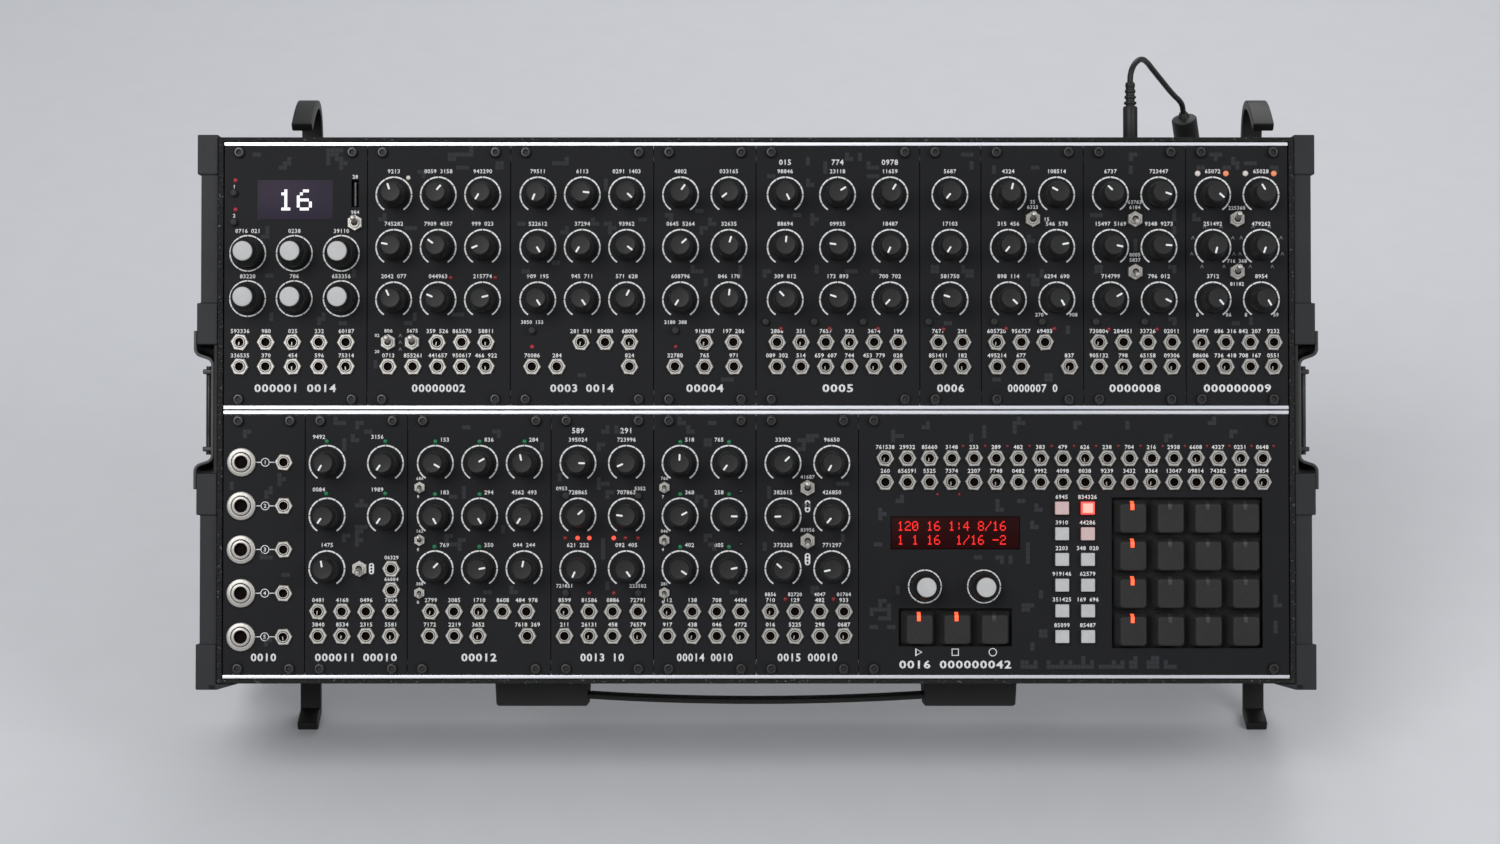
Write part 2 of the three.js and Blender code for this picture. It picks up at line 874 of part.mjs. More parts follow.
const armSetback = caseDepth + fit + armBar / 2;
const toeDirection = [-Math.sin(radians(tiltBack)), Math.cos(radians(tiltBack))];
const toeBend = [-caseOuter - toeRise, -armSetback];
const toeEnd = toeBend.map((place, i) => place + toeDirection[i] * toeLength);
const pivotDepth = caseDepth + pivotSetback;

function arm(middle) {
  const crest = caseOuter + hookCrestRise;
  const hook = new THREE.CubicBezierCurve(
    new THREE.Vector2(caseOuter, -armSetback),
    new THREE.Vector2(crest + hookNoseRise, -armSetback),
    new THREE.Vector2(crest, -hookCrestSetback + hookNoseRise),
    new THREE.Vector2(caseOuter + hookNoseRise, -hookNoseSetback),
  );
  const line = [toeEnd, toeBend, ...curvePoints(hook, hookPieces)];
  const bar = sideOutline(barOutline(line, armBar), armWidth, middle);
  const ledge = boxBetween(
    [middle - ledgeWidth / 2, middle + ledgeWidth / 2],
    [-caseOuter - fit - ledgeThickness, -caseOuter - fit],
    [-armSetback, -armSetback + ledgeLength],
  );
  const inward = -Math.sign(middle);
  const lugOuter = middle + inward * (armWidth / 2 - lugThickness);
  const lugInner = middle + (inward * armWidth) / 2;
  const lug = boxBetween(
    [Math.min(lugOuter, lugInner), Math.max(lugOuter, lugInner)],
    [pivotHeight - lugHeight / 2, pivotHeight + lugHeight / 2],
    [-pivotDepth - lugHeight / 2, -armSetback],
  );
  const pinEnd = lugInner + inward * (legThickness + 2 * runningFit);
  const headEnd = pinEnd + inward * pinHeadThickness;
  const pin = pinAcross(pinRadius, lugOuter, headEnd, pivotHeight, -pivotDepth);
  const head = pinAcross(pinHeadRadius, pinEnd, headEnd, pivotHeight, -pivotDepth);
  return joined([bar, ledge, lug, pin, head]);
}

// A round bar from one side to the other.
function pinAcross(radius, x0, x1, y, z) {
  const pin = new THREE.CylinderGeometry(radius, radius, Math.abs(x1 - x0), knobSides);
  return solidOf(pin.rotateZ(Math.PI / 2).translate((x0 + x1) / 2, y, z));
}

// How high a place of the tilted group stands, before the whole is set down at z = 0.
const heightOf = ([y, z]) => y * Math.cos(radians(tiltBack)) + z * Math.sin(radians(tiltBack));
const ground = heightOf(toeEnd) - armBar / 2;
const legLength = (heightOf([pivotHeight, -pivotDepth]) - ground) / Math.cos(radians(legLean));
const legPlace = (middle) =>
  middle - Math.sign(middle) * (armWidth / 2 + runningFit + legThickness / 2);

// A leg in the folding frame's own group: its eye is at the origin and its foot is cut level.
function leg(middle) {
  const half = legWidth / 2;
  const slope = half * Math.tan(radians(legLean));
  const outline = [
    [half, -half / 2],
    [half, half / 2],
    [half / 2, half],
    [-legLength + slope, half],
    [-legLength - slope, -half],
    [half / 2, -half],
  ];
  const bore = pinAcross(pinRadius + runningFit, -legThickness, legThickness, 0, 0);
  const bar = sideOutline(outline, legThickness, 0).subtract(bore);
  return bar.translate([legPlace(middle), 0, 0]);
}

function crossBar() {
  const reach = legThickness / 2 + fit;
  const [left, right] = [legPlace(armLeftPlace) + reach, legPlace(armRightPlace) - reach];
  return pinAcross(barRadius, left, right, -legLength + barHeight, 0);
}

// Power lead: the plug stands in the case's top wall, and the cord arches over to a socket that
// hangs behind the case. The cord and the socket are placed in the untilted group.

function plug() {
  const top = caseOuter + fit;
  const body = top + plugBodyLength;
  const ribStep = plugReliefLength / plugRibCount;
  const profile = [
    [plugTipRadius, caseOuter - plugTipLength],
    [plugTipRadius, top],
    [plugRadius, top],
    [plugRadius, body],
  ];
  for (let i = 0; i < plugRibCount; i += 1) {
    const share = i / plugRibCount;
    const radius = plugRibRadius + (plugNeckRadius - plugRibRadius) * share;
    profile.push([plugNeckRadius, body + ribStep * i], [radius, body + ribStep * (i + 1 / 3)]);
    profile.push([radius, body + ribStep * (i + 2 / 3)]);
  }
  profile.push([plugNeckRadius, body + plugReliefLength]);
  const points = [[0, profile[0][1]], ...profile, [0, body + plugReliefLength]];
  const lathe = new THREE.LatheGeometry(
    points.map(([r, h]) => new THREE.Vector2(r, h)),
    knobSides,
  );
  return lathe.translate(plugPlace, 0, -plugSetback);
}

// From where the cord leaves the plug: to the right, away from the player and up.
const cordRoute = [
  [0, 0, 0],
  [0.3, 2.1, 3.4],
  [1.6, 5.2, 6],
  [4.1, 9.8, 7.2],
  [7.3, 15.6, 6.1],
  [10.9, 21.9, 2],
  [14.8, 28.2, -4.2],
  [19.2, 34.3, -11],
  [23.4, 39.8, -17.4],
  [27.3, 44.8, -23.3],
  [30.8, 49, -28.2],
  [33.7, 52.1, -31.9],
  [35.7, 53.9, -35.4],
  [36.6, 54.2, -39.4],
];

function placeLead() {
  const start = new THREE.Vector3(
    plugPlace,
    caseOuter + fit + plugBodyLength + plugReliefLength + fit,
    -plugSetback,
  ).applyEuler(tilted.rotation);
  const lead = new THREE.Group();
  lead.position.copy(start);
  group.add(lead);
  const route = new THREE.CatmullRomCurve3(cordRoute.map((point) => new THREE.Vector3(...point)));
  const section = new THREE.Shape();
  section.absarc(0, 0, cordDiameter / 2, 0, 2 * Math.PI);
  const cord = new THREE.ExtrudeGeometry(section, {
    curveSegments: cordSegments,
    steps: cordSteps,
    extrudePath: route,
  });
  place(lead, "lead_cord", cord, "lead");
  const profile = [
    [0, -socketLength],
    [socketRadius, -socketLength],
    [socketRadius, -socketNeckLength - socketShoulder],
    [socketNeckRadius, -socketNeckLength],
    [plugNeckRadius, 0],
    [0, 0],
  ];
  const socket = new THREE.LatheGeometry(
    profile.map(([r, h]) => new THREE.Vector2(r, h)),
    knobSides,
  );
  const end = cordRoute[cordRoute.length - 1];
  socket.rotateX(Math.PI / 2).rotateY(radians(socketLean));
  socket.translate(end[0], end[1], end[2] - fit);
  place(lead, "lead_socket", socket, "lead");
}

// Power board on posts against the case's back

function powerBoard() {
  const front = backInner + fit + busPostHeight + busBoardThickness;
  const half = [busBoardWidth / 2, busBoardHeight / 2];
  const board = boxBetween(
    [-half[0], half[0]],
    [-half[1], half[1]],
    [front - busBoardThickness, front],
  );
  const posts = [-1, 1].flatMap((x) =>
    [-1, 1].map((y) => {
      const corner = [x * (half[0] - busPost), y * (half[1] - busPost)];
      return boxBetween(
        [corner[0] - busPost / 2, corner[0] + busPost / 2],
        [corner[1] - busPost / 2, corner[1] + busPost / 2],
        [backInner + fit, front - busBoardThickness + weld],
      );
    }),
  );
  const step = busBoardWidth / busHeaderCount;
  const headers = Array.from({ length: busHeaderCount }, (_, i) => {
    const x = (i - (busHeaderCount - 1) / 2) * step;
    return boxBetween(
      [x - busHeader[0] / 2, x + busHeader[0] / 2],
      [-busHeader[1] / 2, busHeader[1] / 2],
      [front - weld, front + busHeader[2]],
    );
  });
  return joined([board, ...posts, ...headers]);
}

// Controls

const knobProfile = (radius, topRadius, skirt, base) => [
  [radius, base],
  [radius, skirt],
  [topRadius, knobHeight],
];
const fixedKnob = (x, y) =>
  turned(knobProfile(knobRadius, knobTopRadius, knobSkirt, -weld), x, y, knobSides);
const fixedEncoder = (x, y) =>
  turned(knobProfile(encoderRadius, knobTopRadius, encoderSkirt, -weld), x, y, knobSides);

// A knob that turns: it has a shaft, and a ridge that shows where it points.
function liveKnob(radius, skirt, pointer) {
  const body = turned(knobProfile(radius, knobTopRadius, skirt, runningFit), 0, 0, knobSides);
  const shaft = post(shaftRadius, -shaftDepth, runningFit + weld, 0, 0, knobSides);
  const reach = knobTopRadius - pointerInset;
  const ridge = boxBetween(
    [-pointerWidth / 2, pointerWidth / 2],
    [reach - pointerLength, reach],
    [knobHeight - weld, knobHeight + pointerRise],
  );
  return joined([body, shaft, ridge]).rotate([0, 0, -pointer]);
}
const shaftHole = (x, y) =>
  post(shaftRadius + 2 * runningFit, -shaftDepth - overrun, overrun, x, y, knobSides);

const jackNut = (x, y) => post(nutRadius, -weld, nutHeight, x, y, nutSides);
const jackBore = (x, y) => post(boreRadius, -boreDepth, nutHeight + overrun, x, y, boreSides);
const screwHead = (x, y) => post(screwRadius, -weld, screwHeight, x, y, screwSides);
const fixedButton = (x, y) => post(triggerRadius, -weld, triggerHeight, x, y, nutSides);
const buttonHole = (x, y) =>
  post(triggerRadius + runningFit, -squareButtonDepth - overrun, overrun, x, y, nutSides);
const toggleNut = (x, y, scale) =>
  post(toggleNutRadius * scale, -weld, toggleNutHeight * scale, x, y, nutSides);
const toggleBore = (x, y) =>
  post(toggleBoreRadius, -squareButtonDepth, toggleNutHeight + overrun, x, y, knobSides);

// A lever about the middle of its bush, leaning by an angle.
function toggleLever(x, y, scale, lean) {
  const profile = [
    [toggleLeverRadius, -toggleLeverRadius],
    [toggleTipRadius, toggleLeverLength],
  ];
  const lever = turned(
    profile.map(([r, h]) => [r * scale, h * scale]),
    0,
    0,
    nutSides,
  );
  return lever.rotate([-lean, 0, 0]).translate([x, y, (toggleNutHeight * scale) / 2]);
}

// Panels

const panelSpan = (module) => module.units * unitWidth;
const acrossPanel = (module, share) => module.left + share * panelSpan(module);
const knobRow = (row) => knobRowTop - row * knobRowPitch;
const encoderRow = (row) => samplerEncoderRow - row * samplerEncoderPitch;
const isMissing = (module, column, row) =>
  (module.missing ?? []).some(([c, r]) => c === column && r === row);

// The places of a module's jacks, on its own height.
function jackPlaces(module) {
  const rows = (module.jackShares ?? []).flatMap((shares, row) =>
    shares.map((share) => [acrossPanel(module, share), jackRowTop - row * jackRowPitch]),
  );
  const extra = (module.extraJackShares ?? []).map(([share, y]) => [acrossPanel(module, share), y]);
  return [...rows, ...extra];
}

function screwPlaces(module) {
  const [left, right] = [module.left + screwInset, module.left + panelSpan(module) - screwInset];
  const shares = (module.screwShares ?? []).map((share) => acrossPanel(module, share));
  const columns = shares.length ? shares : module.units < 8 ? [left] : [left, right];
  return columns.flatMap((x) => [
    [x, screwSpacing / 2],
    [x, -screwSpacing / 2],
  ]);
}

// The panel, the bodies of its controls, its circuit board and the header behind.
function panelBlank(module) {
  const [left, right] = [module.left + fit / 2, module.left + panelSpan(module) - fit / 2];
  const boardFront = -boardSetback;
  const boardBack = boardFront - boardThickness;
  const middle = (left + right) / 2;
  return joined([
    boxBetween([left, right], [-panelHeight / 2, panelHeight / 2], [-panelThickness, 0]),
    boxBetween(
      [left + bankInset, right - bankInset],
      [bankEdge - panelHeight / 2, panelHeight / 2 - bankEdge],
      [boardFront - weld, -panelThickness + weld],
    ),
    boxBetween(
      [left + boardInset, right - boardInset],
      [-boardHeight / 2, boardHeight / 2],
      [boardBack, boardFront],
    ),
    boxBetween(
      [middle - rearHeader[0] / 2, middle + rearHeader[0] / 2],
      [-rearHeader[1] / 2, rearHeader[1] / 2],
      [boardBack - rearHeader[2], boardBack + weld],
    ),
  ]);
}

const range = (count) => Array.from({ length: count }, (_, i) => i);

// Adds a module's knobs or encoders, with an open hole where its live one goes.
function addKnobs(parts, module) {
  const shares = module.knobShares ?? module.encoderShares ?? [];
  const rowCount = module.encoderShares ? 2 : 3;
  shares.forEach((share, column) => {
    range(rowCount).forEach((row) => {
      if (isMissing(module, column, row)) return;
      const x = acrossPanel(module, share);
      const y = module.encoderShares ? encoderRow(row) : knobRow(row);
      const { live } = module;
      if (live.column === column && live.row === row) parts.holes.push(shaftHole(x, y));
      else parts.solids.push(module.encoderShares ? fixedEncoder(x, y) : fixedKnob(x, y));
    });
  });
}

function addLink(parts, module) {
  range(module.largeJackCount).forEach((index) => {
    const y = largeJackTop - index * largeJackPitch;
    const large = acrossPanel(module, module.largeJackShare);
    const small = acrossPanel(module, module.smallJackShare);
    parts.solids.push(post(largeNutRadius, -weld, largeNutHeight, large, y, 2 * nutSides));
    parts.holes.push(post(largeBoreRadius, -boreDepth, largeNutHeight + overrun, large, y, knobSides));
    parts.solids.push(jackNut(small, y));
    parts.holes.push(jackBore(small, y));
  });
}

// A recess for keys, with room for the stem of the live one in its floor.
const keyPlaces = (count, middle) =>
  range(count).map((i) => middle + (i - (count - 1) / 2) * keyPitch);
const keyTopSize = [keyTop, keyTop];
const keyBaseSize = [keyBase, keyBase];

function addKeys(parts, xs, ys) {
  const [left, right] = [xs[0] - keyBase / 2 - keyMargin, xs[xs.length - 1] + keyBase / 2 + keyMargin];
  const [low, high] = [ys[0] - keyBase / 2 - keyMargin, ys[ys.length - 1] + keyBase / 2 + keyMargin];
  parts.holes.push(boxBetween([left, right], [low, high], [-recessDepth, overrun]));
  const stemRoom = keyStem / 2 + runningFit;
  const [liveX, liveY] = [xs[0], ys[ys.length - 1]];
  parts.holes.push(
    boxBetween(
      [liveX - stemRoom, liveX + stemRoom],
      [liveY - stemRoom, liveY + stemRoom],
      [-recessDepth - keyStemDepth, overrun],
    ),
  );
  xs.forEach((x) => {
    ys.forEach((y) => {
      if (x === liveX && y === liveY) return;
      parts.late.push(tapered(keyBaseSize, keyTopSize, [-recessDepth - weld, keyProud], x, y));
    });
  });
}

// A key that travels stands on a stem, its cap clear of the recess floor by its travel.
function liveKey() {
  const under = keyProud - keyHeight;
  const cap = tapered(keyBaseSize, keyTopSize, [under, keyProud], 0, 0);
  const stem = boxBetween(
    [-keyStem / 2, keyStem / 2],
    [-keyStem / 2, keyStem / 2],
    [-recessDepth - keyStemDepth + keyTravel + fit, under + weld],
  );
  return cap.add(stem);
}

function squarePlaces(module) {
  return module.squareShares.flatMap((share) =>
    range(squareButtonRows).map((row) => [
      acrossPanel(module, share),
      squareButtonTop - row * squareButtonPitch,
    ]),
  );
}
const lastSquare = squareButtonRows; // top of the right-hand column

function squareBlock([x, y], room, [z0, z1]) {
  const [halfX, halfY] = [squareButton[0] / 2 + room, squareButton[1] / 2 + room];
  return boxBetween([x - halfX, x + halfX], [y - halfY, y + halfY], [z0, z1]);
}

const displayCentre = (module) => [acrossPanel(module, module.displayShare), displayHeight];

function displayBlock([x, y], room, [z0, z1]) {
  const [halfX, halfY] = [displayWindow[0] / 2 + room, displayWindow[1] / 2 + room];
  return boxBetween([x - halfX, x + halfX], [y - halfY, y + halfY], [z0, z1]);
}

function addSequencer(parts, module) {
  range(sequencerJackCount).forEach((index) => {
    const x = acrossPanel(module, module.firstJackShare) + index * sequencerJackPitch;
    [sequencerJackRow, sequencerJackRow - sequencerJackRowPitch].forEach((y) => {
      parts.solids.push(jackNut(x, y));
      parts.holes.push(jackBore(x, y));
    });
  });
  parts.holes.push(displayBlock(displayCentre(module), fit, [-displayWindow[2] - fit, overrun]));
  const [liveDial, fixedDial] = module.dialShares.map((share) => acrossPanel(module, share));
  parts.holes.push(shaftHole(liveDial, sequencerEncoderRow));
  parts.solids.push(fixedEncoder(fixedDial, sequencerEncoderRow));
  const transport = acrossPanel(module, module.transportShare);
  addKeys(parts, keyPlaces(transportKeyCount, transport), [transportHeight]);
  const step = acrossPanel(module, module.stepShare);
  addKeys(parts, keyPlaces(stepKeyCount, step), keyPlaces(stepKeyCount, stepRecessHeight));
  squarePlaces(module).forEach((spot, index) => {
    if (index !== lastSquare) parts.solids.push(squareBlock(spot, 0, [-weld, squareButton[2]]));
    else parts.holes.push(squareBlock(spot, runningFit, [-squareButtonDepth - overrun, overrun]));
  });
}

function panel(module) {
  const parts = { solids: [panelBlank(module)], holes: [], late: [] };
  screwPlaces(module).forEach(([x, y]) => parts.solids.push(screwHead(x, y)));
  jackPlaces(module).forEach(([x, y]) => {
    parts.solids.push(jackNut(x, y));
    parts.holes.push(jackBore(x, y));
  });
  if (module.live) addKnobs(parts, module);
  (module.buttonShares ?? []).forEach(([share, y], index) => {
    const x = acrossPanel(module, share);
    if (index === module.liveButton) parts.holes.push(buttonHole(x, y));
    else parts.solids.push(fixedButton(x, y));
  });
  (module.toggleShares ?? []).forEach(([share, y], index) => {
    const x = acrossPanel(module, share);
    parts.solids.push(toggleNut(x, y, 1));
    if (index === module.liveToggle) parts.holes.push(toggleBore(x, y));
    else parts.solids.push(toggleLever(x, y, 1, toggleTilt));
  });
  (module.smallToggleShares ?? []).forEach(([share, y]) => {
    const x = acrossPanel(module, share);
    parts.solids.push(toggleNut(x, y, smallToggleShare));
    parts.solids.push(toggleLever(x, y, smallToggleShare, -toggleTilt));
  });
  if (module.windowShare) {
    const [width, height, rise] = samplerWindow;
    const [x, y] = [acrossPanel(module, module.windowShare), samplerWindowHeight];
    const slotPlace = acrossPanel(module, module.slotShare);
    parts.solids.push(
      boxBetween([x - width / 2, x + width / 2], [y - height / 2, y + height / 2], [-weld, rise]),
    );
    parts.holes.push(
      boxBetween(
        [slotPlace - cardSlot[0] / 2, slotPlace + cardSlot[0] / 2],
        [cardSlotHeight - cardSlot[1] / 2, cardSlotHeight + cardSlot[1] / 2],
        [-cardSlot[2], overrun],
      ),
    );
  }
  if (module.largeJackShare) addLink(parts, module);
  if (module.displayShare) addSequencer(parts, module);
  return joined([cut(joined(parts.solids), parts.holes), ...parts.late]);
}

// A piece that moves sits at its own place in the row's group.
function placeAt(row, name, solid, shade, x, y) {
  place(row, name, geometryOf(solid), shade).position.set(x, y, 0);
}

function placeLivePieces(row, module) {
  const { live } = module;
  if (live) {
    const shares = module.knobShares ?? module.encoderShares;
    const x = acrossPanel(module, shares[live.column]);
    if (module.encoderShares) {
      const dial = liveKnob(encoderRadius, encoderSkirt, live.pointer);
      placeAt(row, `${module.name}_encoder`, dial, "encoder", x, encoderRow(live.row));
    } else {
      const knob = liveKnob(knobRadius, knobSkirt, live.pointer);
      placeAt(row, `${module.name}_knob`, knob, "knob", x, knobRow(live.row));
    }
  }
  if (module.liveButton !== undefined) {
    const [share, y] = module.buttonShares[module.liveButton];
    const button = post(triggerRadius, -squareButtonDepth, triggerHeight, 0, 0, nutSides);
    placeAt(row, `${module.name}_button`, button, "key", acrossPanel(module, share), y);
  }
  if (module.liveToggle !== undefined) {
    const [share, y] = module.toggleShares[module.liveToggle];
    const lever = toggleLever(0, 0, 1, toggleTilt);
    placeAt(row, `${module.name}_toggle_lever`, lever, "nickel", acrossPanel(module, share), y);
  }
  if (!module.displayShare) return;
  const dial = liveKnob(encoderRadius, encoderSkirt, 0);
  const dialPlace = acrossPanel(module, module.dialShares[0]);
  placeAt(row, "sequencer_encoder", dial, "encoder", dialPlace, sequencerEncoderRow);
  const transport = keyPlaces(transportKeyCount, acrossPanel(module, module.transportShare));
  placeAt(row, "transport_key", liveKey(), "key", transport[0], transportHeight);
  const steps = keyPlaces(stepKeyCount, acrossPanel(module, module.stepShare));
  const stepTop = keyPlaces(stepKeyCount, stepRecessHeight)[stepKeyCount - 1];
  placeAt(row, "step_key", liveKey(), "key", steps[0], stepTop);
  const [squareX, squareY] = squarePlaces(module)[lastSquare];
  const square = squareBlock([0, 0], 0, [squareButtonTravel - squareButtonDepth, squareButton[2]]);
  placeAt(row, "square_button", square, "frosted", squareX, squareY);
  const [displayX, displayY] = displayCentre(module);
  const lens = displayBlock([0, 0], 0, [-displayWindow[2], displayProud]);
  placeAt(row, "display_window", lens, "lens", displayX, displayY);
}

function placeRow(modules, middle) {
  const row = new THREE.Group();
  row.position.y = middle;
  tilted.add(row);
  let left = -halfRow;
  modules.forEach((module) => {
    module.left = left;
    left += panelSpan(module);
    place(row, `${module.name}_panel`, geometryOf(panel(module)), "panel");
    placeLivePieces(row, module);
  });
}

// Assembly

const sides = [
  ["left", -1],
  ["right", 1],
];

place(tilted, "case_shell", geometryOf(caseShell()), "textured");
place(tilted, "upper_rail_top", geometryOf(rail(upperMiddle, 1)), "rail");
place(tilted, "upper_rail_bottom", geometryOf(rail(upperMiddle, -1)), "rail");
place(tilted, "lower_rail_top", geometryOf(rail(lowerMiddle, 1)), "rail");
place(tilted, "lower_rail_bottom", geometryOf(rail(lowerMiddle, -1)), "rail");
place(tilted, "power_board", geometryOf(powerBoard()), "board");
place(tilted, "strap_band", geometryOf(strapBand()), "strap");
sides.forEach(([word, side]) => {
  place(tilted, `cheek_${word}`, geometryOf(cheek(side)), "moulded");
  place(tilted, `dish_${word}`, geometryOf(dish(side)), "sheet");
  place(tilted, `bail_${word}`, geometryOf(bail(side)), "steel");
  place(tilted, `strap_cap_${word}`, geometryOf(strapCap(side)), "strap");
});

const folding = new THREE.Group();
folding.position.set(0, pivotHeight, -pivotDepth);
folding.rotation.x = radians(tiltBack + legLean);
tilted.add(folding);
place(folding, "prop_bar", geometryOf(crossBar()), "steel");
[
  ["left", armLeftPlace],
  ["right", armRightPlace],
].forEach(([word, middle]) => {
  place(tilted, `stand_arm_${word}`, geometryOf(arm(middle)), "sheet");
  place(folding, `prop_leg_${word}`, geometryOf(leg(middle)), "sheet");
});

placeRow(upperRow, upperMiddle);
placeRow(lowerRow, lowerMiddle);

// The origin is under the middle of everything but the lead, on the surface it stands on.
group.updateMatrixWorld(true);
const bounds = new THREE.Box3().setFromObject(group, true);
const centre = bounds.getCenter(new THREE.Vector3());

place(tilted, "lead_plug", plug(), "lead");
placeLead();
group.position.set(-centre.x, -centre.y, -bounds.min.z);

export default group;
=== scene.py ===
import json
import math
import random

import bmesh
import bpy
from mathutils import Matrix, Vector

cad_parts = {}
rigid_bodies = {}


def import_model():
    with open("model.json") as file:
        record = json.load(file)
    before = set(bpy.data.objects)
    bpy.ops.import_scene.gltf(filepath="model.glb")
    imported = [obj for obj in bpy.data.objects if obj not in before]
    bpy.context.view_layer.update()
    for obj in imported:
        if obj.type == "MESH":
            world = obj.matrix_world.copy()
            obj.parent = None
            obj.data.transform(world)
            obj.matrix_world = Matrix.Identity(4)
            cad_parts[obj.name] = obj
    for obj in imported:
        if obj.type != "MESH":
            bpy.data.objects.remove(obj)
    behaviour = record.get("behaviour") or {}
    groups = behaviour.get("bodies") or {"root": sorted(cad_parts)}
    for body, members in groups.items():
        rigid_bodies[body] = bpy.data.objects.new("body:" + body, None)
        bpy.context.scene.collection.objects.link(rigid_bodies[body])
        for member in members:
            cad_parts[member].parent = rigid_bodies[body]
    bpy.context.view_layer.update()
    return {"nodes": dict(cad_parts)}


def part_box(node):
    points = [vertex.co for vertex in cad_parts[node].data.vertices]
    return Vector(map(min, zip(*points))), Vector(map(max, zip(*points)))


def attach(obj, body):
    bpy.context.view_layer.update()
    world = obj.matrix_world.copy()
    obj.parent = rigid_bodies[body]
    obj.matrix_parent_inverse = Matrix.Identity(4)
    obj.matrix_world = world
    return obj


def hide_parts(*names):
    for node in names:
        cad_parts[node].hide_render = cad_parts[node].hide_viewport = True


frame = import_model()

print("frame loaded")

mm = 0.001
angleOf = math.radians
straight = 0.9    # a normal or an edge with that much of an axis lies along it
mergeRoom = 1e-7    # metres, and points closer than that are one

# The case leans back. Local x runs along a row, y up the panels and z out of their faces.
shellLow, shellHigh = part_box("case_shell")
caseSize = {"lean": 30, "halfHeight": 135.45 * mm, "rim": 0.8 * mm, "rowMiddle": 66.675 * mm}
leanUp, leanOut = math.cos(angleOf(caseSize["lean"])), math.sin(angleOf(caseSize["lean"]))
tilt = Matrix.Rotation(angleOf(90 - caseSize["lean"]), 4, "X")
tilt.translation = Vector((
    0,
    shellLow.y + caseSize["halfHeight"] * leanOut + caseSize["rim"] * leanUp,
    shellHigh.z - caseSize["halfHeight"] * leanUp - caseSize["rim"] * leanOut,
))

# Camera: the photograph's angle
photoView = {
    "aim": (-3 * mm, -6 * mm, 0), "distance": 1.5, "elevation": 28.7, "lens": 72.6, "sensor": 36,
}


def lookFrom(name, data, place, way):    # a camera or a lamp at its place, turned one way
    item = bpy.data.objects.new(name, data)
    bpy.context.scene.collection.objects.link(item)
    item.location = place
    item.rotation_mode = "QUATERNION"
    item.rotation_quaternion = way.to_track_quat("-Z", "Y")
    return item


def makeCamera():
    data = bpy.data.cameras.new("viewCamera")
    data.lens, data.sensor_width = photoView["lens"], photoView["sensor"]
    rise = angleOf(photoView["elevation"])
    back = Vector((0, -math.cos(rise), math.sin(rise)))
    place = tilt @ Vector(photoView["aim"]) + back * photoView["distance"]
    bpy.context.scene.camera = lookFrom("viewCamera", data, place, -back)


makeCamera()

# Working with the selection


def clearSelection():
    if bpy.context.mode != "OBJECT":
        bpy.ops.object.mode_set(mode="OBJECT")
    for item in bpy.context.view_layer.objects:
        item.select_set(False)


def pickUp(*items):
    clearSelection()
    for item in items:
        item.select_set(True)
    bpy.context.view_layer.objects.active = items[0]
    return items[0]


def begin(name, add, **facts):    # a new object by one of Blender's add operators
    clearSelection()
    add(**facts)
    item = bpy.context.object
    item.name = name
    return item


def change(item, kind, **facts):    # a modifier, added and applied
    pickUp(item)
    modifier = item.modifiers.new("change", kind)
    for fact, value in facts.items():
        setattr(modifier, fact, value)
    bpy.ops.object.modifier_apply(modifier="change")
    return item


def startEdit(item):
    pickUp(item)
    bpy.ops.object.mode_set(mode="EDIT")
    bpy.ops.mesh.select_mode(type="FACE")
    bpy.ops.mesh.select_all(action="SELECT")


def endEdit():
    bpy.ops.object.mode_set(mode="OBJECT")


def chooseFaces(item, wanted):
    shape = bmesh.from_edit_mesh(item.data)
    for face in shape.faces:
        face.select_set(False)
    for face in shape.faces:
        if wanted(face.calc_center_median(), face.normal):
            face.select_set(True)
    shape.select_flush_mode()
    bmesh.update_edit_mesh(item.data)


def chooseEdges(item, wanted):
    bpy.ops.mesh.select_mode(type="EDGE")
    shape = bmesh.from_edit_mesh(item.data)
    for edge in shape.edges:
        edge.select_set(False)
    for edge in shape.edges:
        a, b = edge.verts
        if wanted((a.co + b.co) / 2, (b.co - a.co).normalized()):
            edge.select_set(True)
    shape.select_flush_mode()
    bmesh.update_edit_mesh(item.data)


def shift(x=0, y=0, z=0):
    bpy.ops.transform.translate(value=(x, y, z))


def raiseFaces(x=0, y=0, z=0):
    bpy.ops.mesh.extrude_region_move(TRANSFORM_OT_translate={"value": (x, y, z)})


def spread(x=1, y=1, z=1):
    bpy.ops.transform.resize(value=(x, y, z))


def faceOutwards(item):
    startEdit(item)
    bpy.ops.mesh.remove_doubles(threshold=mergeRoom)
    bpy.ops.mesh.normals_make_consistent(inside=False)
    if bmesh.from_edit_mesh(item.data).calc_volume(signed=True) < 0:
        bpy.ops.mesh.flip_normals()
    endEdit()


def soften(item, width, segments=2, limit=35):    # edges sharper than the limit are eased
    return change(item, "BEVEL", width=width, segments=segments,
                  limit_method="ANGLE", angle_limit=angleOf(limit))


def smooth(item, limit=35):
    pickUp(item)
    bpy.ops.object.shade_smooth_by_angle(angle=angleOf(limit))
    return item


def evenOut(item, limit=35):    # broad flat faces keep their own normals beside eased edges
    return change(smooth(item, limit), "WEIGHTED_NORMAL", keep_sharp=True)


def moved(x=0, y=0, z=0, turn=0, scale=1):
    return Matrix.Translation((x, y, z)) @ Matrix.Rotation(turn, 4, "Z") @ Matrix.Scale(scale, 4)


def around(middle, width):    # both ends of a width about its middle
    return middle - width / 2, middle + width / 2


def mirrored(side, near, far):    # a stretch to the right, or its mirror image, lowest first
    return sorted((side * near, side * far))


def inMm(rings):
    return [(radius * mm, height * mm) for radius, height in rings]


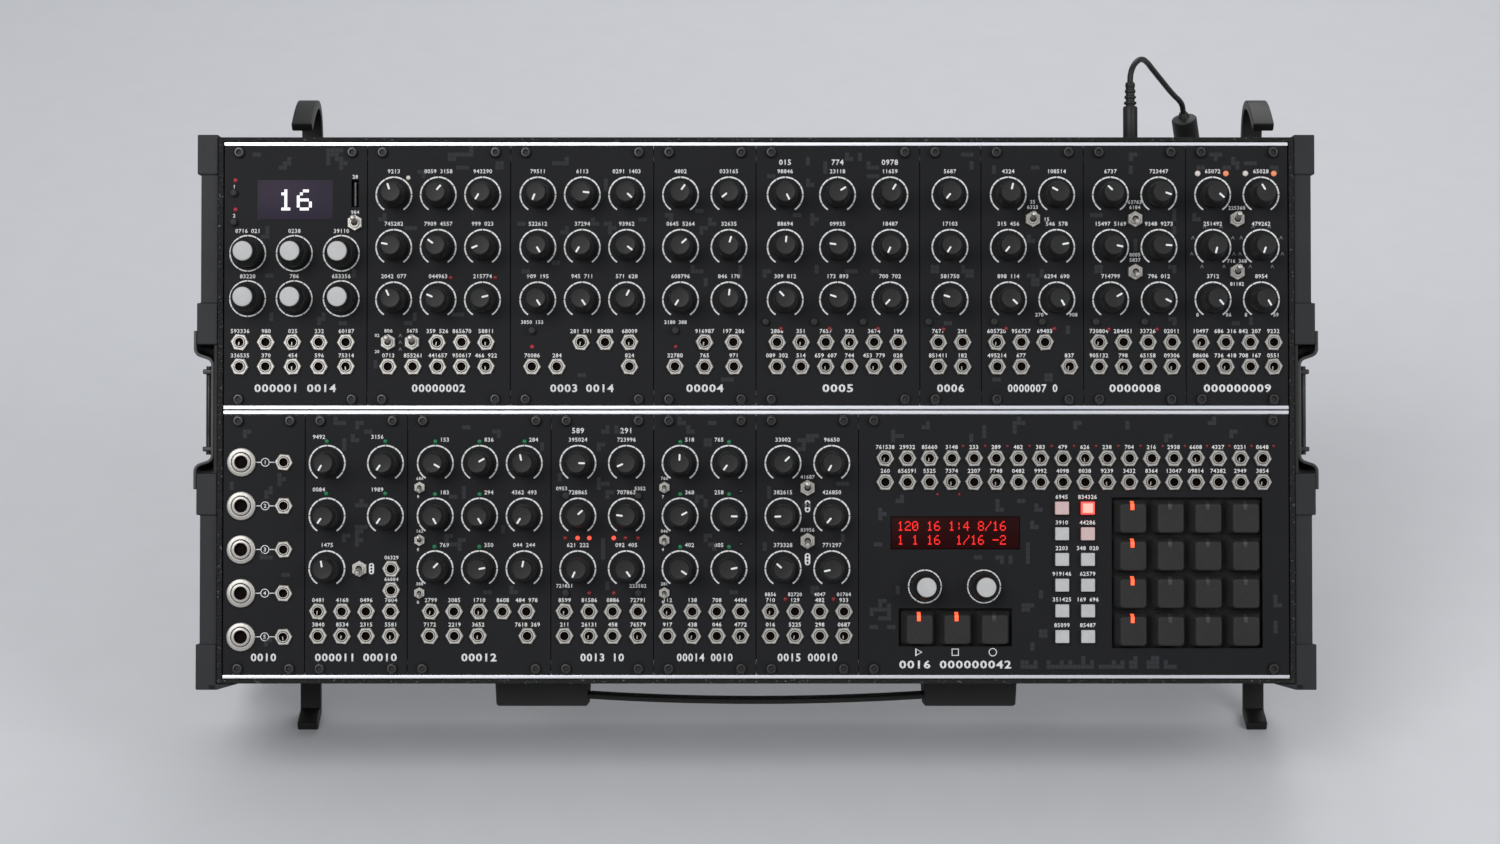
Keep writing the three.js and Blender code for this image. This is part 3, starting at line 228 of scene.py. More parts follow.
def block(name, x, y, z, width=0, segments=2):    # a box between three pairs of places
    item = begin(name, bpy.ops.mesh.primitive_cube_add, size=1)
    startEdit(item)
    spread(*[high - low for low, high in (x, y, z)])
    shift(*[(low + high) / 2 for low, high in (x, y, z)])
    endEdit()
    return soften(item, width, segments) if width else item


def boxRound(name, middle, halfX, halfY, low, high, width=0):    # halves and heights in millimetres
    x, y = middle
    return block(name, (x - halfX * mm, x + halfX * mm), (y - halfY * mm, y + halfY * mm),
                 (low * mm, high * mm), width)


def turnedForm(name, profile, sides):   # rings of [radius, height], from the first up
    item = begin(name, bpy.ops.mesh.primitive_circle_add, vertices=sides,
                 radius=profile[0][0], fill_type="NGON")
    startEdit(item)
    shift(z=profile[0][1])
    for (radius, height), (nextRadius, nextHeight) in zip(profile, profile[1:]):
        raiseFaces(z=nextHeight - height)
        spread(nextRadius / radius, nextRadius / radius)
    endEdit()
    faceOutwards(item)
    return smooth(item)


def foldedStrip(name, line, low, high, thickness, width):   # sheet along a line, across x
    item = begin(name, bpy.ops.mesh.primitive_plane_add, size=1)
    startEdit(item)
    chooseEdges(item, lambda spot, way: spot.y < 0.4)    # the plane's far edge alone is kept
    bpy.ops.mesh.delete(type="EDGE")
    bpy.ops.mesh.select_all(action="SELECT")
    spread(high - low)
    shift((low + high) / 2, line[0][0] - 0.5, line[0][1])
    for (y0, z0), (y1, z1) in zip(line, line[1:]):
        raiseFaces(0, y1 - y0, z1 - z0)
    endEdit()
    faceOutwards(change(item, "SOLIDIFY", thickness=thickness, offset=0, use_even_offset=True))
    return smooth(soften(item, width, 2, 50))


def rodAlong(name, points, radius, closed=False, roundness=3):   # a round bar on a line of points
    item = begin(name, bpy.ops.curve.primitive_nurbs_path_add)
    item.data.splines.clear()
    line = item.data.splines.new("POLY")
    line.points.add(len(points) - 1)
    for spot, place in zip(line.points, points):
        spot.co = (*place, 1)
    line.use_cyclic_u = closed
    item.data.bevel_depth, item.data.bevel_resolution = radius, roundness
    item.data.use_fill_caps = not closed
    pickUp(item)
    bpy.ops.object.convert(target="MESH")
    item = bpy.context.object
    faceOutwards(item)
    return smooth(item, 50)


def joinAll(name, items):
    pickUp(*items)
    if len(items) > 1:
        bpy.ops.object.join()
    item = bpy.context.view_layer.objects.active
    item.name = name
    return item


def coat(item, material):
    item.data.materials.clear()
    item.data.materials.append(material)
    return item


def coatWhere(item, material, wanted):
    item.data.materials.append(material)
    slot = len(item.data.materials) - 1
    for face in item.data.polygons:
        if wanted(face.center, face.normal):
            face.material_index = slot
    return item


def turnedPiece(name, size, material):    # from a table's own sides and rings
    return coat(turnedForm(name, inMm(size["rings"]), size["sides"]), finish[material])


# Faces chosen by how far they lie from the upright axis, and between two heights
def coatRound(item, material, outer, inner=-1, floor=-math.inf, roof=math.inf):
    def wanted(spot, way):
        radius = math.hypot(spot.x, spot.y)
        return inner * mm < radius < outer * mm and floor * mm < spot.z < roof * mm

    return coatWhere(item, finish[material], wanted)


def bevelCorners(item, width, segments):    # the upright edges alone
    startEdit(item)
    chooseEdges(item, lambda spot, way: abs(way.z) > straight)
    bpy.ops.mesh.bevel(offset=width * mm, segments=segments)
    endEdit()
    return item


masters = []


def keepMaster(item):    # out of the scene until it is copied
    bpy.context.view_layer.update()
    item.data.transform(item.matrix_world)
    item.matrix_world = Matrix.Identity(4)
    for home in list(item.users_collection):
        home.objects.unlink(item)
    masters.append(item)
    return item


def copiesOf(name, places):    # places: pairs of a master and where its copy goes
    made = []
    for master, place in places:
        copy = master.copy()
        copy.data = master.data.copy()
        copy.data.transform(place)
        bpy.context.scene.collection.objects.link(copy)
        made.append(copy)
    return joinAll(name, made)


def settle(item, body, slotName, *nodes, place=tilt):
    bpy.context.view_layer.update()
    item.data.transform(place @ item.matrix_world)
    item.matrix_world = Matrix.Identity(4)
    item.data.update()
    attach(item, body)
    if nodes:
        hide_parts(*nodes)
    return item


# Finishes


class Wire:    # one socket of a material, for sums on its values
    def __init__(self, tree, socket):
        self.tree, self.socket = tree, socket

    def make(self, kind, settings, sockets, out=0):
        node = self.tree.nodes.new(kind)
        for name, value in settings.items():
            setattr(node, name, value)
        for name, value in sockets.items():
            if isinstance(value, Wire):
                self.tree.links.new(value.socket, node.inputs[name])
            else:
                node.inputs[name].default_value = value
        return Wire(self.tree, node.outputs[out])

    def sum(self, operation, first, second):
        return self.make("ShaderNodeMath", {"operation": operation}, {0: first, 1: second})

    def __add__(self, other):
        return self.sum("ADD", self, other)

    def __radd__(self, other):
        return self.sum("ADD", other, self)

    def __sub__(self, other):
        return self.sum("SUBTRACT", self, other)

    def __rsub__(self, other):
        return self.sum("SUBTRACT", other, self)

    def __mul__(self, other):
        return self.sum("MULTIPLY", self, other)

    def __rmul__(self, other):
        return self.sum("MULTIPLY", other, self)

    def noise(self, scale, detail=2, grow=(1, 1, 1)):
        place = self.make("ShaderNodeMapping", {}, {"Vector": self, "Scale": grow})
        facts = {"Vector": place, "Scale": scale, "Detail": detail}
        return self.make("ShaderNodeTexNoise", {}, facts)

    def limit(self, low, high):    # 0 below low, 1 above high
        facts = {"Value": self, "From Min": low, "From Max": high}
        return self.make("ShaderNodeMapRange", {"clamp": True}, facts)

    def blend(self, low, high):    # a colour between two
        facts = {0: self, 6: (*low, 1), 7: (*high, 1)}
        return self.make("ShaderNodeMix", {"data_type": "RGBA"}, facts, 2)

    def relief(self, depth):
        return self.make("ShaderNodeBump", {}, {"Height": self, "Distance": depth, "Strength": 1})


def startFinish(name, **fixed):
    material = bpy.data.materials.new(name)
    material.use_nodes = True
    tree = material.node_tree
    shader = tree.nodes["Principled BSDF"]
    for socket, value in fixed.items():
        shader.inputs[socket.replace("_", " ")].default_value = value
    spot = Wire(tree, tree.nodes.new("ShaderNodeTexCoord").outputs["Object"])

    def feed(socket, wire):
        tree.links.new(wire.socket, shader.inputs[socket])

    return material, spot, feed


def grey(level, tint=(1, 1, 1)):
    return tuple(level * part for part in tint)


coolTint, warmTint = (0.95, 0.98, 1.08), (1.04, 1, 0.93)


mouldLook = {"clouds": (0.3, 0.7), "grains": (0.25, 0.75), "cloudShare": 0.6, "grainShare": 0.4}


# Plain moulded, painted or plated stuff: two tones, a changing gloss and a fine grain.
# tone and deep are its colours and gloss its roughness from and to. In millimetres, grain is
# the size of its texture, relief that texture's depth and patch the size of its clouds.
def stuff(name, tone, deep, gloss, grain, relief, patch=30, **fixed):
    look = mouldLook
    material, spot, feed = startFinish(name, **fixed)
    broad = spot.noise(1 / (patch * mm), 3).limit(*look["clouds"])
    fine = spot.noise(1 / (grain * mm))
    feed("Base Color", (broad * look["cloudShare"] + fine * look["grainShare"]).blend(deep, tone))
    feed("Roughness", fine.limit(*look["grains"]) * (gloss[1] - gloss[0]) + gloss[0])
    feed("Normal", fine.relief(relief * mm))
    return material


# The second of the tones is the lighter colour of the painted glints on the grain tops.
sprayLook = {
    "shine": 0.22, "grains": 1150, "lumps": 700, "crests": (0.56, 0.66), "middles": (0.2, 0.5),
    "paintedGlints": (0.2, 0.8), "tones": (grey(0.006), grey(0.15, coolTint)),
    "worn": (0.1, 0.6), "rough": 0.3, "roughMore": 0.4,
    "grainShare": 0.7, "lumpShare": 0.6, "relief": 0.32 * mm,
}


# Rough-sprayed sheet: rounded grains packed closely, with a few grain tops coloured lighter as
# painted glints.
def texturedPaint():
    look = sprayLook
    material, spot, feed = startFinish("texturedPaint", Specular_IOR_Level=look["shine"])
    facts = {"Vector": spot, "Scale": look["grains"]}
    grains = spot.make("ShaderNodeTexVoronoi", {"feature": "F1"}, facts)
    lumps = spot.noise(look["lumps"], 3)
    # painted glints: lump crests near the middles of the grains are coloured lighter
    paintedGlints = lumps.limit(*look["crests"]) * (1 - grains.limit(*look["middles"]))
    height = (1 - grains) * look["grainShare"] + lumps * look["lumpShare"]
    feed("Base Color", paintedGlints.limit(*look["paintedGlints"]).blend(*look["tones"]))
    feed("Roughness", grains.limit(*look["worn"]) * look["roughMore"] + look["rough"])
    feed("Normal", height.relief(look["relief"]))
    return material


railLook = {
    "lines": 900, "drawn": (0.02, 1, 1), "tones": (grey(0.82, coolTint), grey(0.88)),
    "rough": 0.34, "roughMore": 0.06, "relief": 0.001 * mm,
}


# Extruded aluminium: fine lines along the rail.
def railMetal():
    look = railLook
    material, spot, feed = startFinish("railMetal", Metallic=1)
    lines = spot.noise(look["lines"], 3, look["drawn"])
    feed("Base Color", lines.blend(*look["tones"]))
    feed("Roughness", lines * look["roughMore"] + look["rough"])
    feed("Normal", lines.relief(look["relief"]))
    return material


weaveLook = {
    "shine": 0.2, "ribs": {"Scale": 160, "Distortion": 0.6, "Detail": 1}, "grain": 1600,
    "tones": (grey(0.008), grey(0.022)), "rough": 0.45, "roughMore": 0.25,
    "ribShare": 0.5, "grainShare": 0.6, "relief": 0.12 * mm,
}


# Woven webbing in a rubber sheath: ribs along the strap and a cross grain.
def strapWeave():
    look = weaveLook
    material, spot, feed = startFinish("strapWeave", Specular_IOR_Level=look["shine"])
    facts = {"Vector": spot, **look["ribs"]}
    ribs = spot.make("ShaderNodeTexWave", {"bands_direction": "X"}, facts)
    fine = spot.noise(look["grain"], 2)
    feed("Base Color", fine.blend(*look["tones"]))
    feed("Roughness", fine * look["roughMore"] + look["rough"])
    height = ribs * look["ribShare"] + fine * look["grainShare"]
    feed("Normal", height.relief(look["relief"]))
    return material


glowLook = {"rough": 0.3, "cloud": 0.7 * mm, "dimLight": 0.8, "dimBase": 0.7}


# Lit plastic: shade is its light and base the colour of its surface.
def glow(name, shade, strength, base=(0.3, 0.05, 0.03)):
    look = glowLook
    material, spot, feed = startFinish(name, Roughness=look["rough"], Emission_Strength=strength)
    cloud = spot.noise(1 / look["cloud"], 1)
    feed("Emission Color", cloud.blend(tuple(part * look["dimLight"] for part in shade), shade))
    feed("Base Color", cloud.blend(tuple(part * look["dimBase"] for part in base), base))
    return material


finish = {
    "texturedPaint": texturedPaint(),
    "railMetal": railMetal(),
    "strapWeave": strapWeave(),
    "cheekMould": stuff("cheekMould", grey(0.021, coolTint), grey(0.015, coolTint),
                        (0.46, 0.62), 0.5, 0.03, Specular_IOR_Level=0.28),
    "sheetSteel": stuff("sheetSteel", grey(0.05), grey(0.03), (0.3, 0.45), 0.4, 0.012,
                        Metallic=0.4),
    "rodSteel": stuff("rodSteel", grey(0.03), grey(0.02), (0.24, 0.36), 0.6, 0.008, Metallic=0.5),
    "standPaint": stuff("standPaint", grey(0.011), grey(0.007), (0.36, 0.52), 0.35, 0.03,
                        Specular_IOR_Level=0.26),
    "capRubber": stuff("capRubber", grey(0.018), grey(0.012), (0.5, 0.68), 0.4, 0.04,
                       Specular_IOR_Level=0.25),
    "leadRubber": stuff("leadRubber", grey(0.011), grey(0.007), (0.42, 0.58), 0.3, 0.02,
                        Specular_IOR_Level=0.35),
    "panelPaint": stuff("panelPaint", grey(0.0125, coolTint), grey(0.0095, coolTint),
                        (0.5, 0.62), 0.12, 0.006, 60, Specular_IOR_Level=0.12),
    "whitePrint": stuff("whitePrint", grey(0.78), grey(0.66), (0.45, 0.6), 0.15, 0.006),
    "greySign": stuff("greySign", grey(0.26), grey(0.2), (0.5, 0.62), 0.15, 0.006),
    "greyPrint": stuff("greyPrint", grey(0.036, coolTint), grey(0.028, coolTint), (0.5, 0.62), 0.15,
                       0.006, Specular_IOR_Level=0.12),
    "knobPlastic": stuff("knobPlastic", grey(0.016), grey(0.011), (0.4, 0.54), 0.18, 0.012,
                         8, Specular_IOR_Level=0.26),
    "pointerPaint": stuff("pointerPaint", grey(0.8), grey(0.7), (0.4, 0.55), 0.2, 0.01),
    "dialCap": stuff("dialCap", grey(0.48), grey(0.42), (0.45, 0.55), 0.15, 0.006, 5),
    "nutNickel": stuff("nutNickel", grey(0.5, warmTint), grey(0.4, warmTint), (0.34, 0.46),
                       0.5, 0.006, 3, Metallic=0.65),
    # near black in the grooves of the socket nuts: painted shade
    "paintedGrooveShade": stuff("paintedGrooveShade", grey(0.05, warmTint), grey(0.03, warmTint), (0.4, 0.5),
                       0.5, 0.006, 3, Specular_IOR_Level=0.2),
    "socketBlack": stuff("socketBlack", (0.008, 0.003, 0.003), (0.003, 0.001, 0.001),
                         (0.5, 0.7), 0.4, 0.02, Specular_IOR_Level=0.05),
    "screwSteel": stuff("screwSteel", grey(0.07), grey(0.045), (0.28, 0.42), 0.4, 0.008, 2,
                        Metallic=0.8),
    "keyPlastic": stuff("keyPlastic", grey(0.022), grey(0.016), (0.45, 0.6), 0.16, 0.016, 9,
                        Specular_IOR_Level=0.25),
    # near black for hollows: painted shade in screw sockets, toggle bushes, pocket linings and
    # round the sampler's screen
    "paintedRecessShade": stuff("paintedRecessShade", grey(0.006), grey(0.004), (0.5, 0.7), 0.5, 0.02),
    "frostedCap": stuff("frostedCap", grey(0.5), grey(0.42), (0.45, 0.6), 0.3, 0.01, 4),
    "pinkCap": glow("pinkCap", (0.9, 0.32, 0.3), 0.3, grey(0.4)),
    "redCap": glow("redCap", (1, 0.05, 0.04), 1.3, (0.5, 0.08, 0.07)),
    "redCore": glow("redCore", (1, 0.42, 0.32), 0.9, (0.5, 0.3, 0.27)),
    "boardLacquer": stuff("boardLacquer", (0.01, 0.06, 0.03), (0.008, 0.04, 0.02),
                          (0.25, 0.4), 0.8, 0.02, 6),
    "redGlow": glow("redGlow", (1, 0.05, 0.03), 2.2),
    "dimGlow": glow("dimGlow", (0.3, 0.008, 0.012), 0.3, (0.1, 0.006, 0.01)),
    "dullGlow": glow("dullGlow", (0.5, 0.02, 0.04), 0.35, (0.2, 0.01, 0.02)),
    "amberGlow": glow("amberGlow", (1, 0.36, 0.16), 0.7),
    "paleGlow": glow("paleGlow", (0.8, 0.75, 0.7), 0.35, (0.5, 0.45, 0.42)),
    "greenGlow": glow("greenGlow", (0.005, 0.16, 0.06), 0.5, (0.005, 0.1, 0.04)),
    "darkGlow": stuff("darkGlow", grey(0.01), grey(0.006), (0.15, 0.3), 0.4, 0.01),
    "barGlow": glow("barGlow", (1, 0.09, 0.03), 2.4),
    "clearBar": stuff("clearBar", grey(0.045), grey(0.03), (0.3, 0.45), 0.3, 0.01),
    "digitGlow": glow("digitGlow", (1, 0.018, 0.012), 1.5, (0.2, 0.002, 0.002)),
    "whiteGlow": glow("whiteGlow", (0.85, 0.88, 1), 1.0, grey(0.5)),
    "redGlass": stuff("redGlass", (0.022, 0.001, 0.002), (0.015, 0.001, 0.001), (0.45, 0.55),
                      2, 0.002, Specular_IOR_Level=0.06),
    "screenGlass": stuff("screenGlass", (0.034, 0.026, 0.044), (0.027, 0.02, 0.036),
                         (0.45, 0.55), 2, 0.002, Specular_IOR_Level=0.12),
}
print("finishes made", len(finish))

# Power lead: an arch from the plug to a socket that hangs behind the case. The plug, the
# socket and the rises of their ribs and grooves are in millimetres, as is the arch.
lead = {    # start is where the cord leaves the plug, and route goes on from there
    "place": 191 * mm, "setback": -40 * mm, "top": 135.75 * mm, "diameter": 3 * mm,
    "start": (191.0, 64.6668, 314.9717),
    "route": [
        (0, 0, 0), (0.3, 2.1, 3.4), (1.6, 5.2, 6), (4.1, 9.8, 7.2), (7.3, 15.6, 6.1),
        (10.9, 21.9, 2), (14.8, 28.2, -4.2), (19.2, 34.3, -11), (23.4, 39.8, -17.4),
        (27.3, 44.8, -23.3), (30.8, 49, -28.2), (33.7, 52.1, -31.9), (35.7, 53.9, -35.4),
        (36.6, 54.2, -39.4),
    ],
    "plug": [(2.75, -8), (2.75, 0), (3.5, 0), (3.7, 0.3), (3.7, 19.2), (3.4, 20.1), (2.3, 20.4)],
    "plugSides": 28, "ribs": 4, "ribStep": 3, "rib": 3.2, "ribRises": (0.6, 1, 2, 2.4),
    "socket": [(4.4, -30), (4.4, -43.9), (6.3, -44), (6.7, -43.6)],
    "socketEnd": [(6.7, -4), (6.3, -3.5), (3.2, -2.6), (2.3, -0.4), (2.07, 0)],
    "socketSides": 32, "grooves": 7, "grooveLow": -42, "grooveStep": 3.6, "grooveDepth": 0.5,
    "grooveRises": (0, 0.5, 1.1, 1.6), "lean": -11.5, "fit": 0.3,
}


def stepped(low, rises, radii):    # one rib or groove of a profile
    return [(radius, low + rise) for radius, rise in zip(radii, rises)]


def makeLead():
    start = Vector(lead["start"])
    route = [(start + Vector(point)) * mm for point in lead["route"]]
    cord = begin("lead_cord_run", bpy.ops.curve.primitive_bezier_curve_add)
    cord.data.splines.clear()
    line = cord.data.splines.new("BEZIER")
    line.bezier_points.add(len(route) - 1)
    for knot, place in zip(line.bezier_points, route):
        knot.co = place
        knot.handle_left_type = knot.handle_right_type = "AUTO"
    cord.data.bevel_depth, cord.data.bevel_resolution = lead["diameter"] / 2, 4
    cord.data.use_fill_caps = True
    coat(cord, finish["leadRubber"])
    bpy.context.view_layer.update()
    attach(cord, "case")
    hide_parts("lead_cord")

    rings = list(lead["plug"])
    neck, body = rings[-1]
    for index in range(lead["ribs"]):    # each rib is narrower than the one before
        wide = lead["rib"] - (lead["rib"] - neck) * index / lead["ribs"]
        low = body + index * lead["ribStep"]
        rings += stepped(low, lead["ribRises"], (neck, wide, wide, neck))
    rings.append((neck, body + lead["ribs"] * lead["ribStep"]))
    plug = coat(turnedForm("lead_plug_body", inMm(rings), lead["plugSides"]), finish["leadRubber"])
    coatWhere(plug, finish["nutNickel"], lambda spot, way: spot.z < -0.01 * mm)    # its tip
    stand = Matrix.Translation((lead["place"], lead["top"], lead["setback"]))
    settle(plug, "case", "lead_black", "lead_plug",
           place=tilt @ stand @ Matrix.Rotation(-math.pi / 2, 4, "X"))

    rings = list(lead["socket"])
    wide = rings[-1][0]
    slim = wide - lead["grooveDepth"]
    for index in range(lead["grooves"]):
        low = lead["grooveLow"] + index * lead["grooveStep"]
        rings += stepped(low, lead["grooveRises"], (wide, slim, slim, wide))
    rings += lead["socketEnd"]
    socket = turnedForm("lead_socket_body", inMm(rings), lead["socketSides"])
    coat(socket, finish["leadRubber"])
    end = route[-1] - Vector((0, 0, lead["fit"] * mm))
    lean = Matrix.Rotation(angleOf(lead["lean"]), 4, "Y")
    settle(socket, "case", "lead_black", "lead_socket", place=Matrix.Translation(end) @ lean)


makeLead()
print("lead made")

# Floor and lamps
studio = {
    "floor": 9, "world": 0.42, "sky": (0.93, 0.95, 1), "paper": (0.62, 0.63, 0.65),
    "lamps": [    # name, place, width and power
        ("keyLamp", (-0.9, -1.5, 1.9), 1.5, 30),
        ("fillLamp", (1.5, -1.1, 1.4), 1.2, 14),
        ("backLamp", (0.3, 1.5, 1.5), 1.4, 12),
    ],
}


def makeStudio():
    floor = begin("studioFloor", bpy.ops.mesh.primitive_plane_add, size=studio["floor"])
    deep = tuple(part * 0.96 for part in studio["paper"])
    coat(floor, stuff("floorPaper", studio["paper"], deep, (0.6, 0.75), 3, 0.02))
    aim = tilt @ Vector((0, 0, 0))
    for name, place, size, power in studio["lamps"]:
        data = bpy.data.lights.new(name, "AREA")
        data.shape, data.size, data.energy = "DISK", size, power
        lookFrom(name, data, place, aim - Vector(place))
    world = bpy.data.worlds.new("studioWorld")
    world.use_nodes = True
    sky = world.node_tree.nodes["Background"]
    sky.inputs["Color"].default_value = (*studio["sky"], 1)
    sky.inputs["Strength"].default_value = studio["world"]
    bpy.context.scene.world = world
    bpy.context.scene.view_settings.view_transform = "Standard"


makeStudio()
print("studio made")

# Case
caseEase = {"shell": 0.7 * mm, "shellLimit": 60, "rail": 0.22 * mm}


def fromSolid(name, node, width, limit=35):    # a copy of a plain solid, edges eased
    item = frame["nodes"][node].copy()
    item.data = item.data.copy()
    item.parent = None
    for key in list(item.keys()):
        del item[key]
    bpy.context.scene.collection.objects.link(item)
    item.matrix_world = Matrix.Identity(4)
    item.name = name
    startEdit(item)
    bpy.ops.mesh.remove_doubles(threshold=1e-6)
    bpy.ops.mesh.dissolve_limited(angle_limit=angleOf(1))
    endEdit()
    return evenOut(soften(item, width, 2, limit))


asBuilt = Matrix.Identity(4)    # for what already stands where it belongs


def makeCase():
    shell = fromSolid("case_shell_walls", "case_shell", caseEase["shell"], caseEase["shellLimit"])
    coat(shell, finish["texturedPaint"])
    settle(shell, "case", "textured_case", "case_shell", place=asBuilt)
    for row in ("upper", "lower"):
        for end in ("top", "bottom"):
            node = f"{row}_rail_{end}"
            rail = coat(fromSolid(f"{node}_bar", node, caseEase["rail"]), finish["railMetal"])
            settle(rail, "case", "rail_aluminium", node, place=asBuilt)


makeCase()
print("case made")

cheekSize = {
    "inner": 267.26 * mm, "outer": 275.86 * mm, "bump": 1.7 * mm, "top": 136.85 * mm,
    "bottom": -138.65 * mm, "front": -0.3 * mm, "back": -100 * mm, "step": 84.597 * mm,
    "shift": 0.5 * mm, "half": 10.3 * mm, "recess": 6.6 * mm,
    "groove": 1.1 * mm, "round": 0.95 * mm, "foot": 10.3 * mm, "footBack": -60 * mm,
    "footTop": -135.75 * mm, "footLap": 4 * mm, "footRound": 0.4 * mm,
}


def makeCheek(word, side):
    size = cheekSize
    near = 0.1 * mm    # how close a face or an edge lies to count as there
    across = mirrored(side, size["inner"], size["outer"])
    low = size["front"] - size["groove"]
    item = block(f"cheek_{word}_mould", across, (size["bottom"], size["top"]), (size["back"], low))
    middles = [step * size["step"] + size["shift"] for step in (1.5, 0.5, -0.5, -1.5)]
    cuts = [middle + way * size["half"] for middle in middles for way in (-1, 1)]
    recess = (middles[2] + size["half"], middles[1] - size["half"])    # between the middle bumps
    startEdit(item)
    for cut in cuts:
        bpy.ops.mesh.select_all(action="SELECT")
        bpy.ops.mesh.bisect(plane_co=(0, cut, 0), plane_no=(0, 1, 0))

    def onBump(spot):    # the two ends of the cheek stand out as the bumps do
        gap = min(abs(spot.y - middle) for middle in middles)
        return gap < size["half"] or spot.y > middles[0] or spot.y < middles[-1]

    chooseFaces(item, lambda spot, way: way.z > straight and onBump(spot))
    raiseFaces(z=size["groove"])
    chooseFaces(item, lambda spot, way: way.x * side > straight and onBump(spot))
    raiseFaces(x=side * size["bump"])
    floor = size["outer"] - size["recess"]
    bpy.ops.mesh.select_all(action="SELECT")
    bpy.ops.mesh.bisect(plane_co=(side * floor, 0, 0), plane_no=(1, 0, 0))
    chooseFaces(item, lambda spot, way: recess[0] + near < spot.y < recess[1] - near
                and spot.x * side > floor + near)
    bpy.ops.mesh.delete(type="FACE")

    def onRim(spot, way):    # the two open ends of the recess
        if min(abs(spot.z - size["back"]), abs(spot.z - low)) > near:
            return False
        if abs(way.x) > straight:
            return (floor < spot.x * side < size["outer"]
                    and min(abs(spot.y - end) for end in recess) < near)
        return abs(spot.x * side - floor) < near and recess[0] < spot.y < recess[1]

    chooseEdges(item, onRim)
    bpy.ops.mesh.bridge_edge_loops()
    endEdit()
    faceOutwards(item)
    soften(item, size["round"], 3)
    across = mirrored(side, size["inner"] - size["foot"], size["inner"] + size["footLap"])
    foot = block("foot", across, (size["bottom"], size["footTop"]),
                 (size["footBack"], size["front"]))
    startEdit(foot)
    chooseEdges(foot, lambda spot, way: abs(spot.y - size["bottom"]) < near
                and abs(spot.x) < size["inner"] - size["foot"] / 2)
    shift(x=side * size["foot"])
    endEdit()
    soften(foot, size["footRound"])
    item = coat(joinAll(item.name, [item, foot]), finish["cheekMould"])
    settle(evenOut(item), "case", "moulded_cheek", f"cheek_{word}")


# A folded sheet dish in each cheek, with a bail that swings on two pins
dishSize = {
    "flange": 278.61 * mm, "floor": 270.01 * mm, "sheet": 1.5 * mm, "half": 39.405 * mm,
    "floorHalf": 22.403 * mm, "bend": 8.1 * mm, "turn": 3.6 * mm, "front": -2 * mm,
    "back": -70 * mm, "edge": 0.35 * mm, "earHeight": 2.4 * mm, "earWidth": 8 * mm,
    "earReach": 2.6 * mm, "earGap": 0.4 * mm, "earEdge": 0.6 * mm,
    "rivet": {
        "sides": 16, "rings": [(2.6, 0), (2.4, 0.5), (1.2, 0.9)], "height": 35 * mm,
        "depths": (-16 * mm, -56 * mm), "sunk": 0.35 * mm, "flat": 0.3,
    },
}
bailSize = {
    "place": 273.36 * mm, "rod": 1.5 * mm, "half": 16.202 * mm, "pivot": -12 * mm,
    "reach": 48 * mm, "pin": 4.4 * mm, "corner": 4 * mm,
}
turnFlat = Matrix(((0, 1, 0, 0), (0, 0, 1, 0), (1, 0, 0, 0), (0, 0, 0, 1)))   # strip to front


def easedStep(start, end, radius, pieces=7):    # a soft S: an arc, a straight run and an arc back
    wide, tall = abs(start[0] - end[0]) - 2 * radius, abs(start[1] - end[1])
    turn = math.atan2(wide, tall) + math.asin(2 * radius / math.hypot(wide, tall))
    across, along = (math.copysign(1, end[axis] - start[axis]) for axis in (0, 1))
    turns = [turn * index / pieces for index in range(pieces + 1)]
    arc = [(radius * (1 - math.cos(part)), radius * math.sin(part)) for part in turns]
    made = [(start[0] + across * x, start[1] + along * y) for x, y in arc]
    return made + [(end[0] - across * x, end[1] - along * y) for x, y in reversed(arc)]


def makeDish(word, side):
    size, rivetSize = dishSize, dishSize["rivet"]
    edge = size["floorHalf"] + size["bend"]
    line = [(size["flange"], size["half"])]
    line += easedStep((size["flange"], edge), (size["floor"], size["floorHalf"]), size["turn"])
    line += easedStep((size["floor"], -size["floorHalf"]), (size["flange"], -edge), size["turn"])
    line += [(size["flange"], -size["half"])]
    sheet = foldedStrip("sheet", [(side * x, y) for x, y in line], size["back"], size["front"],
                        size["sheet"], size["edge"])
    sheet.data.transform(turnFlat)
    faceOutwards(sheet)
    parts = [sheet]
    inner = bailSize["half"] + bailSize["rod"] + size["earGap"]
    across = mirrored(side, size["floor"], bailSize["place"] + size["earReach"])
    for end in (1, -1):
        parts.append(block("ear", across, mirrored(end, inner, inner + size["earHeight"]),
                           around(bailSize["pivot"], size["earWidth"]), size["earEdge"], 3))
    face = size["flange"] + size["sheet"] / 2 - rivetSize["sunk"]
    for end in (1, -1):
        for depth in rivetSize["depths"]:
            rivet = turnedForm("rivet", inMm(rivetSize["rings"]), rivetSize["sides"])
            stand = Matrix.Translation((side * face, end * rivetSize["height"], depth))
            rivet.data.transform(stand @ Matrix.Rotation(side * math.pi / 2, 4, "Y")
                                 @ Matrix.Scale(rivetSize["flat"], 4, (0, 0, 1)))
            parts.append(rivet)
    item = coat(joinAll(f"dish_{word}_sheet", parts), finish["sheetSteel"])
    settle(evenOut(item), "case", "dark_sheet", f"dish_{word}")


def roundedLoop(half, low, high, corner, pieces=6):    # a rectangle with rounded corners
    made = []
    right, left, up, down = half - corner, corner - half, high - corner, low + corner
    for quarter, (x, y) in enumerate([(right, up), (left, up), (left, down), (right, down)]):
        for index in range(pieces + 1):
            turn = angleOf(90 * quarter + 90 * index / pieces)
            made.append((x + corner * math.cos(turn), y + corner * math.sin(turn)))
    return made


